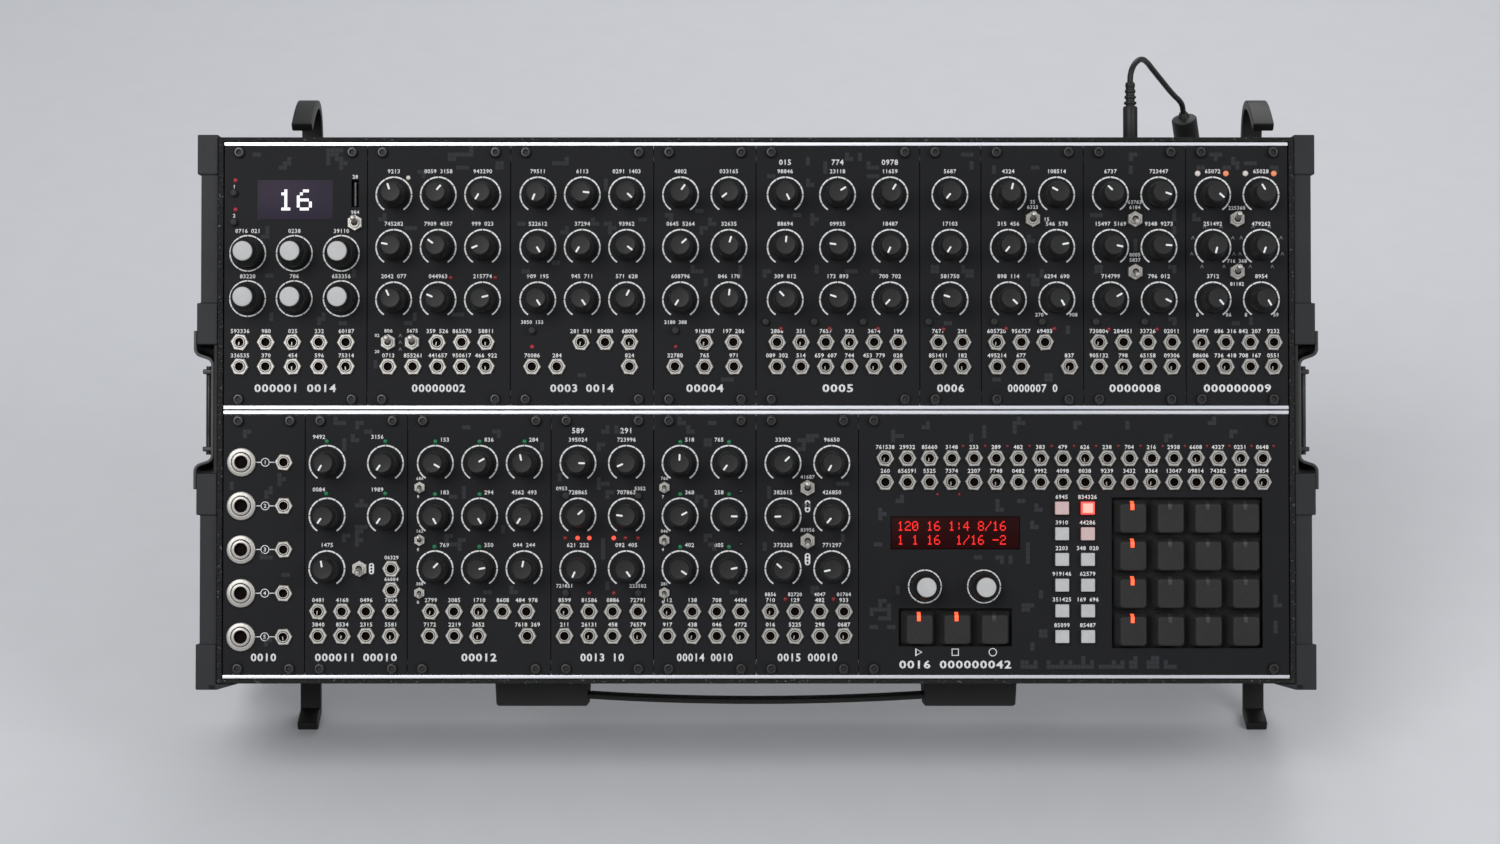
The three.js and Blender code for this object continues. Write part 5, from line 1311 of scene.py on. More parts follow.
# Modules. Shares are of a module's width; heights are from the middle of its row, in
# millimetres. live is the column and row of the knob that is a piece of its own, and
# pointers are the turns of the knobs, row by row. words, tags, name, notes and heads give
# how many numerals stand beside knobs, beside jacks, at the foot and elsewhere. marks are
# printed signs with their scale. A lamp is a shade and a place, both ways in millimetres.
unitWidth, halfRow = 5.08, 264.16
rows = {
    "knobTop": 40.2, "knobStep": 26.1, "dialTop": 11.1, "dialStep": 22.5, "jackTop": -33.1,
    "jackStep": 12.1, "title": -55.9, "screw": 61.25, "screwIn": 7.5, "narrow": 8,
}
modules = {
    "sampler": {
        "row": 1, "units": 14, "encoders": [0.166, 0.491, 0.819], "live": (0, 0),
        "jacks": [[0.114, 0.296, 0.482, 0.667, 0.855]] * 2, "title": 41,
        "buttons": [(0.07, 41.1), (0.07, 26.5)], "toggles": [(0.915, 26.2, 1)],
        "lamps": [("dull", 5.6, 47.4), ("dull", 5.6, 32.9)],
        "words": ["845", "536"], "tags": ["63335", "63335"], "name": [6, 4],
        "notes": [(2, 0.915, 49.2), (3, 0.915, 31.5), (1, 0.07, 44.2), (1, 0.07, 29.8)],
    },
    "voice": {
        "row": 1, "units": 14, "knobs": [0.185, 0.495, 0.805], "live": (0, 0),
        "pointers": [(-18, 42, -149), (-79, -53, -113), (-25, -67, 76)],
        "jacks": [[0.49, 0.662, 0.831], [0.149, 0.322, 0.494, 0.661, 0.831]],
        "toggles": [(0.149, -33.1, 1), (0.316, -33.1, 1)], "title": 27,
        "lamps": [("pale", 20.3, 48.7), ("dim", 41.4, -1), ("dim", 63.5, -1)],
        "words": ["496", "697", "866"], "tags": ["765", "46667"], "name": [8],
        "notes": [(3, 0.149, -27.4), (4, 0.316, -27.4)],
        "fineNotes": [(2, 0.07, -37.7), (2, 0.07, -29.7)],
        "marks": [("peak", 0.232, -36.5, 1), ("peak", 0.232, -33.1, 1), ("peak", 0.232, -29.7, 1)],
    },
    "drum": {
        "row": 1, "units": 14, "knobs": [0.191, 0.501, 0.811], "live": (1, 0),
        "pointers": [(-158, 96, 132), (150, -149, 127), (148, 145, 27)],
        "jacks": [[0.494, 0.662, 0.832], [0.152, 0.326, 0.832]],
        "buttons": [(0.152, -27.3)], "title": 32, "lamps": [("dull", 10.8, -35.3)],
        "words": ["549", "655", "777"], "tags": ["755", "533"], "name": [4, 4],
        "notes": [(8, 0.152, -23.1)],
    },
    "filter": {
        "row": 1, "units": 10, "knobs": [0.262, 0.735], "live": (0, 0),
        "pointers": [(37, -129), (49, 17), (-148, 6)],
        "jacks": [[0.497, 0.778], [0.209, 0.497, 0.784]],
        "buttons": [(0.213, -27.3)], "title": 19, "lamps": [("dim", 10.9, -35.3)],
        "words": ["46", "95", "67"], "tags": ["67", "533"], "name": [5],
        "notes": [(8, 0.213, -23.1)],
    },
    "envelope": {
        "row": 1, "units": 16, "knobs": [0.178, 0.498, 0.818], "live": (1, 0),
        "pointers": [(154, 58, 31), (6, -82, -156), (-43, -71, -138)],
        "jacks": [[0.128, 0.274, 0.425, 0.57, 0.72, 0.866]] * 2,
        "buttons": [(0.059, -23), (0.356, -23), (0.653, -23)], "liveButton": 0, "title": 16,
        "lamps": [("dim", 12.4, -26.3), ("dim", 36.5, -26.3), ("dim", 60.5, -26.3)],
        "words": ["555", "555", "777"], "tags": ["434343", "737373"], "name": [4],
        "heads": [(3, 0.178), (3, 0.498), (4, 0.818)],
    },
    "gate": {
        "row": 1, "units": 6, "knobs": [0.492], "live": (0, 2),
        "pointers": [(-141,), (-148,), (-73,)], "jacks": [[0.298, 0.692]] * 2,
        "buttons": [(0.141, -23)], "title": 14, "lamps": [("dim", 11.8, -26.6)],
        "words": ["4", "5", "6"], "tags": ["43", "63"], "name": [4],
    },
    "slope": {
        "row": 1, "units": 10, "knobs": [0.266, 0.739], "live": (0, 0),
        "pointers": [(14, -61), (-141, 80), (135, 151)],
        "jacks": [[0.149, 0.388, 0.619], [0.153, 0.388, 0.859]],
        "buttons": [(0.125, -23), (0.593, -23)], "toggles": [(0.504, 28, 1)], "title": 25,
        "lamps": [("dim", 12.3, -26.3), ("dim", 36.2, -26.3)],
        "words": ["46", "77", "78"], "tags": ["665", "633"], "name": [7, 1],
        "notes": [(2, 0.504, 36.7), (4, 0.504, 34.1), (2, 0.64, 28), (3, 0.568, -19.4),
                  (3, 0.9, -19.4)],
    },
    "burst": {
        "row": 1, "units": 10, "knobs": [0.265, 0.738], "live": (0, 0),
        "pointers": [(-47, 109), (103, 95), (60, 118)],
        "jacks": [[0.148, 0.385, 0.626, 0.86]] * 2, "buttons": [(0.118, -23), (0.591, -23)],
        "toggles": [(0.503, 28, -1), (0.503, 1.8, -1)], "title": 26,
        "lamps": [("dim", 12.5, -26.6), ("dim", 36.4, -26.6)],
        "words": ["46", "a9", "67"], "tags": ["6655", "6355"], "name": [7],
        "notes": [(5, 0.503, 36.6), (4, 0.503, 34), (4, 0.503, 10.4), (4, 0.503, 7.8)],
    },
    "wave": {
        "row": 1, "units": 10, "knobs": [0.265, 0.737], "live": (1, 0), "lampScale": 1.3,
        "pointers": [(132, -31), (-165, -160), (141, 150)],
        "jacks": [[0.142, 0.383, 0.623, 0.852]] * 2,
        "toggles": [(0.5, 28, 1), (0.5, 1.8, 1)], "liveToggle": 0, "title": 34, "peakRow": 1,
        "lamps": [("pale", 6, 50.8), ("amber", 20, 50.8), ("pale", 29.7, 50.8),
                  ("amber", 43.8, 50.8)],
        "words": ["55", "66", "44"], "tags": ["5774", "5774"], "name": [9],
        "notes": [(6, 0.5, 33.7), (7, 0.5, 7.3), (5, 0.5, -4.1), (1, 0.113, -19.4),
                  (2, 0.416, -19.4), (1, 0.586, -19.4), (2, 0.878, -19.4)],
    },
    "link": {
        "row": -1, "units": 8, "large": 0.227, "small": 0.744, "largeTop": 40.7,
        "largeStep": 21.6, "largeCount": 5, "discs": 0.513, "title": 13, "name": [4],
    },
    "mixer": {
        "row": -1, "units": 10, "knobs": [0.215, 0.784], "live": (0, 2), "missing": (1, 2),
        "pointers": [(-151, -145), (-145, -147), (-9, 0)],
        "jacks": [[0.133, 0.366, 0.601, 0.841]] * 2, "moreJacks": [(0.845, -12), (0.845, -22.6)],
        "toggles": [(0.535, -12, -1)], "title": 41,
        "lamps": [("green", 10.7, 51.1), ("green", 39.7, 51.1), ("green", 10.5, 25.2),
                  ("green", 39.7, 25.2)],
        "words": ["44", "44", "40"], "tags": ["4444", "4444"], "name": [6, 5],
        "aside": [(-4.1, -4.1), (-4.1, -4.1), (0, 0)], "lift": 1.4,
        "notes": [(5, 0.845, -6.5), (5, 0.845, -17.2)], "marks": [("pill", 0.65, -12, 0.92)],
    },
    "shaper": {
        "row": -1, "units": 14, "knobs": [0.193, 0.502, 0.813], "live": (1, 0),
        "pointers": [(120, 60, -12), (151, 148, -147), (45, 79, 12)],
        "jacks": [[0.164, 0.327, 0.501, 0.665, 0.831], [0.157, 0.33, 0.494, 0.837]],
        "smallToggles": [(0.085, 28.2, -1), (0.085, 2.1, 1), (0.085, -24, -1)], "title": 18,
        "lamps": [("green", 13.7, 51), ("green", 35.6, 51), ("green", 57.9, 51),
                  ("green", 13.6, 24.9), ("green", 35.7, 24.9), ("green", 13.4, -1.1),
                  ("green", 35.6, -1.1)],
        "words": ["333", "338", "337"], "tags": ["44447", "4448"], "name": [5],
        "aside": [(4.6, 4.6, 4.6), (4.6, 4.6, 0), (4.6, 4.6, 0)],
    },
    "switch": {
        "row": -1, "units": 10, "knobs": [0.262, 0.735], "live": (0, 0),
        "pointers": [(92, -114), (48, -82), (-155, 144)],
        "jacks": [[0.134, 0.374, 0.604, 0.849]] * 2,
        "buttons": [(0.145, 24), (0.852, 24), (0.145, -24), (0.852, -24)], "title": 22,
        "lamps": [("dim", 7, 3.2), ("red", 13.2, 3.2), ("red", 19, 3.2), ("red", 31.1, 3.2),
                  ("dim", 36.9, 3.2), ("dim", 43.1, 3.2), ("dim", 18.9, -24), ("dim", 31.1, -24)],
        "words": ["66", "66", "77"], "tags": ["4545", "3535"], "name": [4, 2],
        "heads": [(3, 0.262), (3, 0.735)],
        "notes": [(4, 0.104, 27.7), (4, 0.868, 27.7), (6, 0.133, -20.5), (6, 0.848, -20.5)],
    },
    "level": {
        "row": -1, "units": 10, "knobs": [0.259, 0.735], "live": (0, 0),
        "pointers": [(2, -144), (62, 91), (124, 78)],
        "jacks": [[0.137, 0.379, 0.618, 0.849]] * 2,
        "smallToggles": [(0.106, 28.2, -1), (0.106, 2.1, -1), (0.106, -24, -1)], "title": 28,
        "lamps": [("green", 13.2, 50.8), ("green", 37.4, 50.8), ("green", 13.2, 24.9),
                  ("green", 37.4, 24.9), ("green", 13.2, -1.2), ("green", 37.4, -1.2),
                  ("dark", 43.3, 26.2), ("dark", 43.3, 0.1)],
        "words": ["33", "33", "33"], "tags": ["3334", "3334"], "name": [5, 4],
        "aside": [(4.7, -4.9)] * 3,
    },
    "delay": {
        "row": -1, "units": 10, "knobs": [0.263, 0.739], "live": (0, 0),
        "pointers": [(44, -151), (-93, -140), (-49, -102)],
        "jacks": [[0.14, 0.379, 0.621, 0.856]] * 2,
        "toggles": [(0.502, 28, 1), (0.502, 1.8, -1)], "title": 30,
        "lamps": [("dim", 14.5, -27), ("dim", 38.3, -27)],
        "words": ["55", "66", "66"], "tags": ["3333", "3434"], "name": [4, 5],
        "notes": [(5, 0.502, 33.4), (5, 0.502, 7.2), (4, 0.14, -24.7), (5, 0.379, -24.7),
                  (4, 0.621, -24.7), (5, 0.856, -24.7)],
        "marks": [("pill", 0.502, 18.9, 1), ("pill", 0.502, -7.3, 1)],
    },
    "sequencer": {
        "row": -1, "units": 42, "firstJack": 0.0618, "jackCount": 18, "jackStep": 11,
        "jackRows": (42.7, 30.9), "display": (0.2246, 5.7), "dials": [0.1539, 0.2911],
        "dialRow": -20.8, "transport": (0.224, -41), "steps": (0.7626, -14), "keyStep": 18.6,
        "keyProud": 3.5, "squares": [0.4718, 0.5317], "squareTop": 18, "squareStep": 12.7,
        "squareCount": 6, "liveSquare": 6, "pinkSquares": (0, 7), "screws": [0.035, 0.962],
        "title": 56, "titleShare": 0.224,
        "lamps": [("dim", 39.1, 24.9), ("dim", 49.9, 24.9)]
        + [("dim", 13.18 + 11 * column + 5.6, 48.8) for column in range(3, 18)],
        "lampScale": 0.66,
        "tags": ["655433333333344444", "364444444444455544"], "squareWords": "444665657575",
        "name": [4, 9], "titleRow": -59.4, "strip": (131.9, 36, -60.5),
    },
}
left = {1: -halfRow, -1: -halfRow}
for name, module in modules.items():
    module["left"] = left[module["row"]]
    module["width"] = module["units"] * unitWidth
    left[module["row"]] += module["width"]

panelForm = {
    "height": 128.5, "thick": 2, "gap": 0.15, "edge": 0.25, "hole": 2.6, "wide": 4.4,
    "buttonHole": 2.02, "holeSides": 12, "cutLow": -4, "cutHigh": 2, "display": (32.05, 8.15),
    "lining": 1, "liningTop": -0.5, "keyRoom": 9.4, "keyWell": (6.6, 1.4),
}
cardForm = {    # the sampler's slot, and the card's edge that shows in it
    "place": (0.915, 40.8), "half": (1.9, 6.8), "well": (6, 0.6), "drop": 0.2 * mm,
    "card": (0.45, 5.9, -5, -1.2), "edge": 0.15 * mm,
}
keyGroups = {
    "transport": {"across": 3, "along": 1, "lit": (0, 1), "live": "transport_key",
                  "fixed": "transport_keys_fixed"},
    "steps": {"across": 4, "along": 4, "lit": (0, 4, 8, 12), "live": "step_key",
              "fixed": "step_keys_fixed"},
}


def spotOn(module, share, height):    # a place on a module's panel, in metres
    across = module["left"] + share * module["width"]
    return across * mm, height * mm + module["row"] * caseSize["rowMiddle"]


def knobSpots(module):    # column, row and place of every knob or encoder
    kind = "dial" if "encoders" in module else "knob"
    top, step = rows[f"{kind}Top"], rows[f"{kind}Step"]
    for column, share in enumerate(module.get("encoders") or module.get("knobs") or []):
        for row in range(2 if kind == "dial" else 3):
            if module.get("missing") != (column, row):
                yield column, row, spotOn(module, share, top - row * step)


def jackSpots(module):
    for row, shares in enumerate(module.get("jacks", [])):
        for share in shares:
            yield spotOn(module, share, rows["jackTop"] - row * rows["jackStep"])
    for share, height in module.get("moreJacks", []):
        yield spotOn(module, share, height)
    for index in range(module.get("largeCount", 0)):    # a small one beside each large one
        yield spotOn(module, module["small"], module["largeTop"] - index * module["largeStep"])
    for height in module.get("jackRows", ()):
        for column in range(module["jackCount"]):
            x, y = spotOn(module, module["firstJack"], height)
            yield x + column * module["jackStep"] * mm, y


def largeSpots(module):
    for index in range(module.get("largeCount", 0)):
        yield spotOn(module, module["large"], module["largeTop"] - index * module["largeStep"])


def screwSpots(module):    # a narrow panel has two screws, the others four
    inwards = rows["screwIn"] / module["width"]
    shares = module.get("screws") or [inwards, 1 - inwards]
    for share in shares[:1] if module["units"] < rows["narrow"] else shares:
        for end in (1, -1):
            yield spotOn(module, share, end * rows["screw"])


def keySpots(module, key):
    x, y = spotOn(module, *module[key])
    across, along, step = keyGroups[key]["across"], keyGroups[key]["along"], module["keyStep"] * mm
    return [(x + (column - (across - 1) / 2) * step, y + ((along - 1) / 2 - row) * step)
            for row in range(along) for column in range(across)]


def squareSpots(module):
    return [spotOn(module, share, module["squareTop"] - row * module["squareStep"])
            for share in module["squares"] for row in range(module["squareCount"])]


def cutOut(item, cutter):
    change(item, "BOOLEAN", operation="DIFFERENCE", solver="EXACT", object=cutter)
    bpy.data.objects.remove(cutter)


def cutterAt(spot, halves, low):    # it reaches up through the panel's face
    return boxRound("cutter", spot, *halves, low, panelForm["cutHigh"])


# Its near-black colour is painted shade inside the pocket.
def makeWell(spot, halves, depth, floor):    # the lining of a pocket behind the panel
    wall = panelForm["lining"]
    well = boxRound("well", spot, halves[0] + wall, halves[1] + wall, -depth - floor,
                    panelForm["liningTop"])
    cutOut(well, cutterAt(spot, halves, -depth))
    return coat(well, finish["paintedRecessShade"])


def makeFaceplate(name, module):
    size = panelForm
    left, right = module["left"] + size["gap"], module["left"] + module["width"] - size["gap"]
    middle = module["row"] * caseSize["rowMiddle"]
    plate = block(f"{name}_faceplate", (left * mm, right * mm),
                  around(middle, size["height"] * mm), (-size["thick"] * mm, 0))
    coat(soften(plate, size["edge"] * mm), finish["panelPaint"])
    holes = [(size["hole"], spot) for spot in jackSpots(module)]
    holes += [(size["wide"], spot) for spot in largeSpots(module)]
    if "liveButton" in module:
        holes.append((size["buttonHole"], spotOn(module, *module["buttons"][module["liveButton"]])))
    cutters = []
    for radius, spot in holes:
        rings = inMm([(radius, size["cutLow"]), (radius, size["cutHigh"])])
        cutters.append(turnedForm("cutter", rings, size["holeSides"]))
        cutters[-1].data.transform(moved(*spot))
    pockets = []
    if "transport" in module:
        for key, group in keyGroups.items():
            halves = [(count - 1) / 2 * module["keyStep"] + size["keyRoom"]
                      for count in (group["across"], group["along"])]
            pockets.append((spotOn(module, *module[key]), halves, size["keyWell"]))
    if "encoders" in module:
        pockets.append((spotOn(module, *cardForm["place"]), cardForm["half"], cardForm["well"]))
    lining = []
    for spot, halves, depths in pockets:
        cutters.append(cutterAt(spot, halves, size["cutLow"]))
        lining.append(makeWell(spot, halves, *depths))
    if "display" in module:
        spot = spotOn(module, *module["display"])
        cutters.append(cutterAt(spot, size["display"], size["cutLow"]))
    if "encoders" in module:
        x, y = spotOn(module, *cardForm["place"])
        card = boxRound("card", (x, y - cardForm["drop"]), *cardForm["card"], cardForm["edge"])
        lining.append(coat(card, finish["screwSteel"]))
    cutOut(plate, joinAll("cutter", cutters))
    settle(evenOut(joinAll(plate.name, [plate, *lining])), "case", "panel_black", f"{name}_panel")


def atSpot(spot, turn=0.0, scale=1.0, up=0.0):
    return moved(spot[0], spot[1], up * mm, angleOf(turn), scale)


def uneven(index, stride, count):    # whole numbers about 0, so that neighbours aren't alike
    return index * stride % count - count // 2


def makeHardware(name, module):
    jacks = list(jackSpots(module))
    places = [(kinds["screw"], atSpot(spot, screwForm["turn"] * index))
              for index, spot in enumerate(screwSpots(module))]
    for index, spot in enumerate(jacks):
        turn = 90 + uneven(index, *jackForm["turns"]) * jackForm["jitter"]
        places.append((kinds["jack"], atSpot(spot, turn)))
    for index, spot in enumerate(jacks):    # a spring shows in some sockets
        if (index * 5 + module["units"]) % jackForm["springEach"] in jackForm["springs"]:
            turn = uneven(index, *jackForm["springTurns"]) * jackForm["springJitter"]
            places.append((kinds["contact"], atSpot(spot, turn)))
    places += [(kinds["largeJack"], atSpot(spot)) for spot in largeSpots(module)]
    places += [(kinds["button"], atSpot(spotOn(module, *place)))
               for index, place in enumerate(module.get("buttons", []))
               if index != module.get("liveButton")]
    toggles = [(*toggle, 1) for index, toggle in enumerate(module.get("toggles", []))
               if index != module.get("liveToggle")]
    toggles += [(*toggle, toggleForm["small"]) for toggle in module.get("smallToggles", [])]
    for share, height, way, scale in toggles:
        kind = "toggleUp" if way > 0 else "toggleDown"
        places.append((kinds[kind], atSpot(spotOn(module, share, height), scale=scale)))
    item = copiesOf(f"{name}_hardware", places)
    if "liveToggle" in module:
        share, height, way = module["toggles"][module["liveToggle"]]
        bush = makeToggleBush()
        bush.data.transform(atSpot(spotOn(module, share, height)))
        item = joinAll(item.name, [item, bush])
    settle(item, "case", "nickel_plate")


def makeKnobs(name, module):
    kind = "encoder" if "encoders" in module else "knob"
    places = []
    for column, row, spot in knobSpots(module):
        if (column, row) != module["live"]:
            turn = 0 if kind == "encoder" else -module["pointers"][row][column]
            places.append((kinds[kind], atSpot(spot, turn)))
    if places:
        settle(copiesOf(f"{name}_knobs", places), "case", "knob_black")


def makeLamps(name, module):
    places = []
    for shade, across, height in module.get("lamps", []):
        spot = spotOn(module, across / module["width"], height)
        places.append((kinds[shade], atSpot(spot, scale=module.get("lampScale", 1))))
    if places:
        settle(copiesOf(f"{name}_lamps", places), "case", "display_lens")


def numeral(signs, spot, height, step=0.81, wide=1.0):    # digits in a row, centred on a spot
    made = []
    size = Matrix.Diagonal((height * wide * mm, height * mm, 1, 1))
    for index, sign in enumerate(signs):
        if sign != " ":
            across = (index - (len(signs) - 1) / 2) * step * height * mm
            made.append((kinds[sign], moved(spot[0] + across, spot[1]) @ size))
    return made


def numberOf(count, chance):    # plain numerals in the room of a word, a long one in two parts
    signs = [str(chance.randrange(10)) for _ in range(count)]
    if count > printForm["long"]:
        signs[count // 2] = " "
    return "".join(signs)


def bar(spot, width, height):
    return kinds["dash"], moved(*spot) @ Matrix.Diagonal((width, height, 1, 1))


printForm = {
    "word": 1.95, "note": 1.755, "fine": 1.5, "head": 2.6, "headRow": 56.4, "title": 3.7,
    "titleWide": 0.82, "wordSeed": 31, "knobWord": 11.7, "encoderWord": 11.1, "jackWord": 5.55,
    "squareWord": 5.55, "peaks": 8, "peakRadius": 11, "peakSweep": 300, "signDrop": 12.3,
    "toggleWords": [(3, 0, 4.5), (1, -0.8, -4.6)],    # how many numerals, how far aside and up
    "long": 6,    # numerals in one run at the most
    "disc": {"number": 1.9, "dashAside": 3.55, "dash": (2.7, 0.42)},
}


def titlePlaces(module, number):
    counts = module["name"]
    signs = f"{number:0{counts[0]}d}"
    if len(counts) > 1:
        signs += " " + f"{module['units']:0{counts[1]}d}"[-counts[1]:]
    height = printForm["title"]
    step = module["title"] / len(signs) / height
    spot = spotOn(module, module.get("titleShare", 0.5), module.get("titleRow", rows["title"]))
    return numeral(signs, spot, height, step, step / printForm["titleWide"])


def linkPlaces(module):    # a numbered disc and two dashes beside each large jack
    size, made = printForm["disc"], []
    for index, (_, y) in enumerate(largeSpots(module)):
        x = spotOn(module, module["discs"], 0)[0]
        made.append((kinds["disc"], atSpot((x, y))))
        made += numeral(str(index + 1), (x, y), size["number"])
        made += [bar((x + side * size["dashAside"] * mm, y), *size["dash"]) for side in (-1, 1)]
    return made


def sequencerPlaces(module, chance):
    made = [(kinds["smallRing"], atSpot(spotOn(module, share, module["dialRow"])))
            for share in module["dials"]]
    signs = (("triangle", -90), ("box", 45), ("circle", 0))    # kind and turn
    for (kind, turn), (x, y) in zip(signs, keySpots(module, "transport")):
        made.append((kinds[kind], atSpot((x, y - printForm["signDrop"] * mm), turn)))
    for count, (x, y) in zip(module["squareWords"], squareSpots(module)):
        made += numeral(numberOf(int(count), chance), (x, y + printForm["squareWord"] * mm),
                        printForm["word"])
    return made


def makePrint(name, module, number):
    size = printForm
    chance = random.Random(size["wordSeed"] * number)
    places = titlePlaces(module, number)

    def write(count, spot, height):
        places.extend(numeral(numberOf(count, chance), spot, height))

    dial = "encoders" in module
    for column, row, (x, y) in knobSpots(module):
        places.append((kinds["ring" if dial else "arc"], atSpot((x, y))))
        aside = module["aside"][row][column] if "aside" in module else 0
        lift = size["encoderWord"] if dial else size["knobWord"]
        lift += module.get("lift", 0) if aside else 0
        count = int(module["words"][row][column], 16)
        write(count, (x + aside * mm, y + lift * mm), size["word"])
    counts = [int(count, 16) for line in module.get("tags", []) for count in line]
    for count, (x, y) in zip(counts, jackSpots(module)):
        write(count, (x, y + size["jackWord"] * mm), size["word"])
    for count, share, height in module.get("notes", []):
        write(count, spotOn(module, share, height), size["note"])
    for count, share in module.get("heads", []):
        write(count, spotOn(module, share, size["headRow"]), size["head"])
    for share, height, way in module.get("smallToggles", []):
        x, y = spotOn(module, share, height)
        for count, aside, lift in size["toggleWords"]:
            write(count, (x + aside * mm, y + lift * mm), size["fine"])
    for count, share, height in module.get("fineNotes", []):
        write(count, spotOn(module, share, height), size["fine"])
    for kind, share, height, scale in module.get("marks", []):
        places.append((kinds[kind], atSpot(spotOn(module, share, height), scale=scale)))
    for column, row, (x, y) in knobSpots(module):    # peaks round the dials of one row
        for index in range(size["peaks"] if row == module.get("peakRow") else 0):
            turn = angleOf(size["peakSweep"] * (index / (size["peaks"] - 1) - 0.5))
            reach = size["peakRadius"] * mm
            spot = (x + reach * math.sin(turn), y + reach * math.cos(turn))
            places.append((kinds["peak"], atSpot(spot)))
    places += linkPlaces(module)
    if "transport" in module:
        places += sequencerPlaces(module, chance)
    settle(copiesOf(f"{name}_print", places), "case", "panel_black")


# A pattern of small cells between the controls. In clear, one number is the radius of a
# circle that the pattern leaves free, and two are half the sides of a box.
motifForm = {
    "step": 2.15, "seed": 700, "share": 0.85, "tries": 900, "edge": 3, "rows": 28, "overTitle": 4,
    "wordUp": 11.5, "jackUp": 1, "screen": (0.5, 37.6),
    "clear": {
        "knob": (10.6,), "word": (5,), "jack": (6.2, 7.2), "largeJack": (9,), "switch": (7.5,),
        "screw": (5,), "dial": (11,), "square": (7, 8), "transport": (30, 16),
        "steps": (39.5, 39.5), "display": (34, 10), "screen": (34, 13),
    },
    "sizes": (1, 2, 2, 3, 4), "ways": ((1, 0), (-1, 0), (0, 1), (0, -1), (0, 1), (1, 0)),
    "strip": (0, 1, 1, 2, 2, 3),
}


def controlsOn(module):    # kind and place of all that the pattern keeps clear of
    for column, row, (x, y) in knobSpots(module):
        yield "knob", (x, y)
        yield "word", (x, y + motifForm["wordUp"] * mm)
    for x, y in jackSpots(module):
        yield "jack", (x, y + motifForm["jackUp"] * mm)
    for spot in largeSpots(module):
        yield "largeJack", spot
    for key in ("toggles", "smallToggles", "buttons"):
        for share, height, *way in module.get(key, []):
            yield "switch", spotOn(module, share, height)
    for spot in screwSpots(module):
        yield "screw", spot
    if "transport" in module:
        for key in ("transport", "steps", "display"):
            yield key, spotOn(module, *module[key])
        for share in module["dials"]:
            yield "dial", spotOn(module, share, module["dialRow"])
        for spot in squareSpots(module):
            yield "square", spot
    if "encoders" in module:
        yield "screen", spotOn(module, *motifForm["screen"])


def motifFree(module, spot):    # clear of every control, and above the title
    for kind, (x, y) in controlsOn(module):
        reach = [part * mm for part in motifForm["clear"][kind]]
        across, along = abs(spot[0] - x), abs(spot[1] - y)
        if len(reach) == 1 and math.hypot(across, along) < reach[0]:
            return False
        if len(reach) == 2 and across < reach[0] and along < reach[1]:
            return False
    height = (spot[1] - module["row"] * caseSize["rowMiddle"]) / mm
    return height > rows["title"] + motifForm["overTitle"]


def cellSpot(module, column, row):    # cells are counted from a panel's left edge and its middle
    step = motifForm["step"]
    return spotOn(module, column * step / module["width"], row * step)


def makeMotifs(name, module, number):
    size = motifForm
    chance = random.Random(size["seed"] + number)
    cells = set()
    wanted = int(module["units"] * size["share"]) + 1
    low = module["left"] + size["edge"]
    high = module["left"] + module["width"] - size["edge"]
    for _ in range(size["tries"]):
        if not wanted:
            break
        column = chance.randrange(1, int(module["width"] / size["step"]) - 1)
        row = chance.randrange(-size["rows"], size["rows"] + 1)
        group = {(column, row)}
        for _ in range(chance.choice(size["sizes"])):
            near = chance.choice(sorted(group))
            way = chance.choice(size["ways"])
            group.add((near[0] + way[0], near[1] + way[1]))
        spots = [cellSpot(module, *cell) for cell in group]
        inside = all(low * mm < spot[0] < high * mm for spot in spots)
        if inside and not cells & group and all(motifFree(module, spot) for spot in spots):
            cells |= group
            wanted -= 1
    places = [(kinds["pixel"], atSpot(cellSpot(module, *cell))) for cell in sorted(cells)]
    if "strip" in module:    # columns of different heights along the lower edge
        first, count, low = module["strip"]
        for index in range(count):
            share = (first + index * size["step"] - module["left"]) / module["width"]
            places += [(kinds["pixel"], atSpot(spotOn(module, share, low + level * size["step"])))
                       for level in range(chance.choice(size["strip"]))]
    if places:
        settle(copiesOf(f"{name}_motifs", places), "case", "panel_black")


for number, (name, module) in enumerate(modules.items(), 1):
    makeFaceplate(name, module)
    makeHardware(name, module)
    makeKnobs(name, module)
    makeLamps(name, module)
    makePrint(name, module, number)
    makeMotifs(name, module, number)
    print(name, "made")

# Dotted numerals for the two screens: each is seven rows of five dots
dotRows = {
    "0": "01110 10001 10011 10101 11001 10001 01110",
    "1": "00100 01100 00100 00100 00100 00100 01110",
    "2": "01110 10001 00001 00110 01000 10000 11111",
    "3": "01110 10001 00001 00110 00001 10001 01110",
    "3": "01110 10001 00001 00110 00001 10001 01110",
    "4": "00010 00110 01010 10010 11111 00010 00010",
    "5": "11111 10000 11110 00001 00001 10001 01110",
    "6": "00110 01000 10000 11110 10001 10001 01110",
    "7": "11111 00001 00010 00100 01000 01000 01000",
    "8": "01110 10001 10001 01110 10001 10001 01110",
    "9": "01110 10001 10001 01111 00001 00010 01100",
    "-": "00000 00000 00000 11111 00000 00000 00000",
    "/": "00001 00001 00010 00100 01000 10000 10000",
    ":": "00000 00100 00100 00000 00100 00100 00000",
}
displayForm = {
    "half": (31.75, 7.85), "low": -3, "high": 0.35, "edge": 0.3 * mm, "signs": 16,
    "lines": ["120 16 1:4 8/16", "1 1 16  1/16 -2"], "dot": (0.5, 0.58), "dotHeights": (0.31, 0.4),
    "step": (0.6, 0.68), "letter": 3.62, "line": 6.9,
}
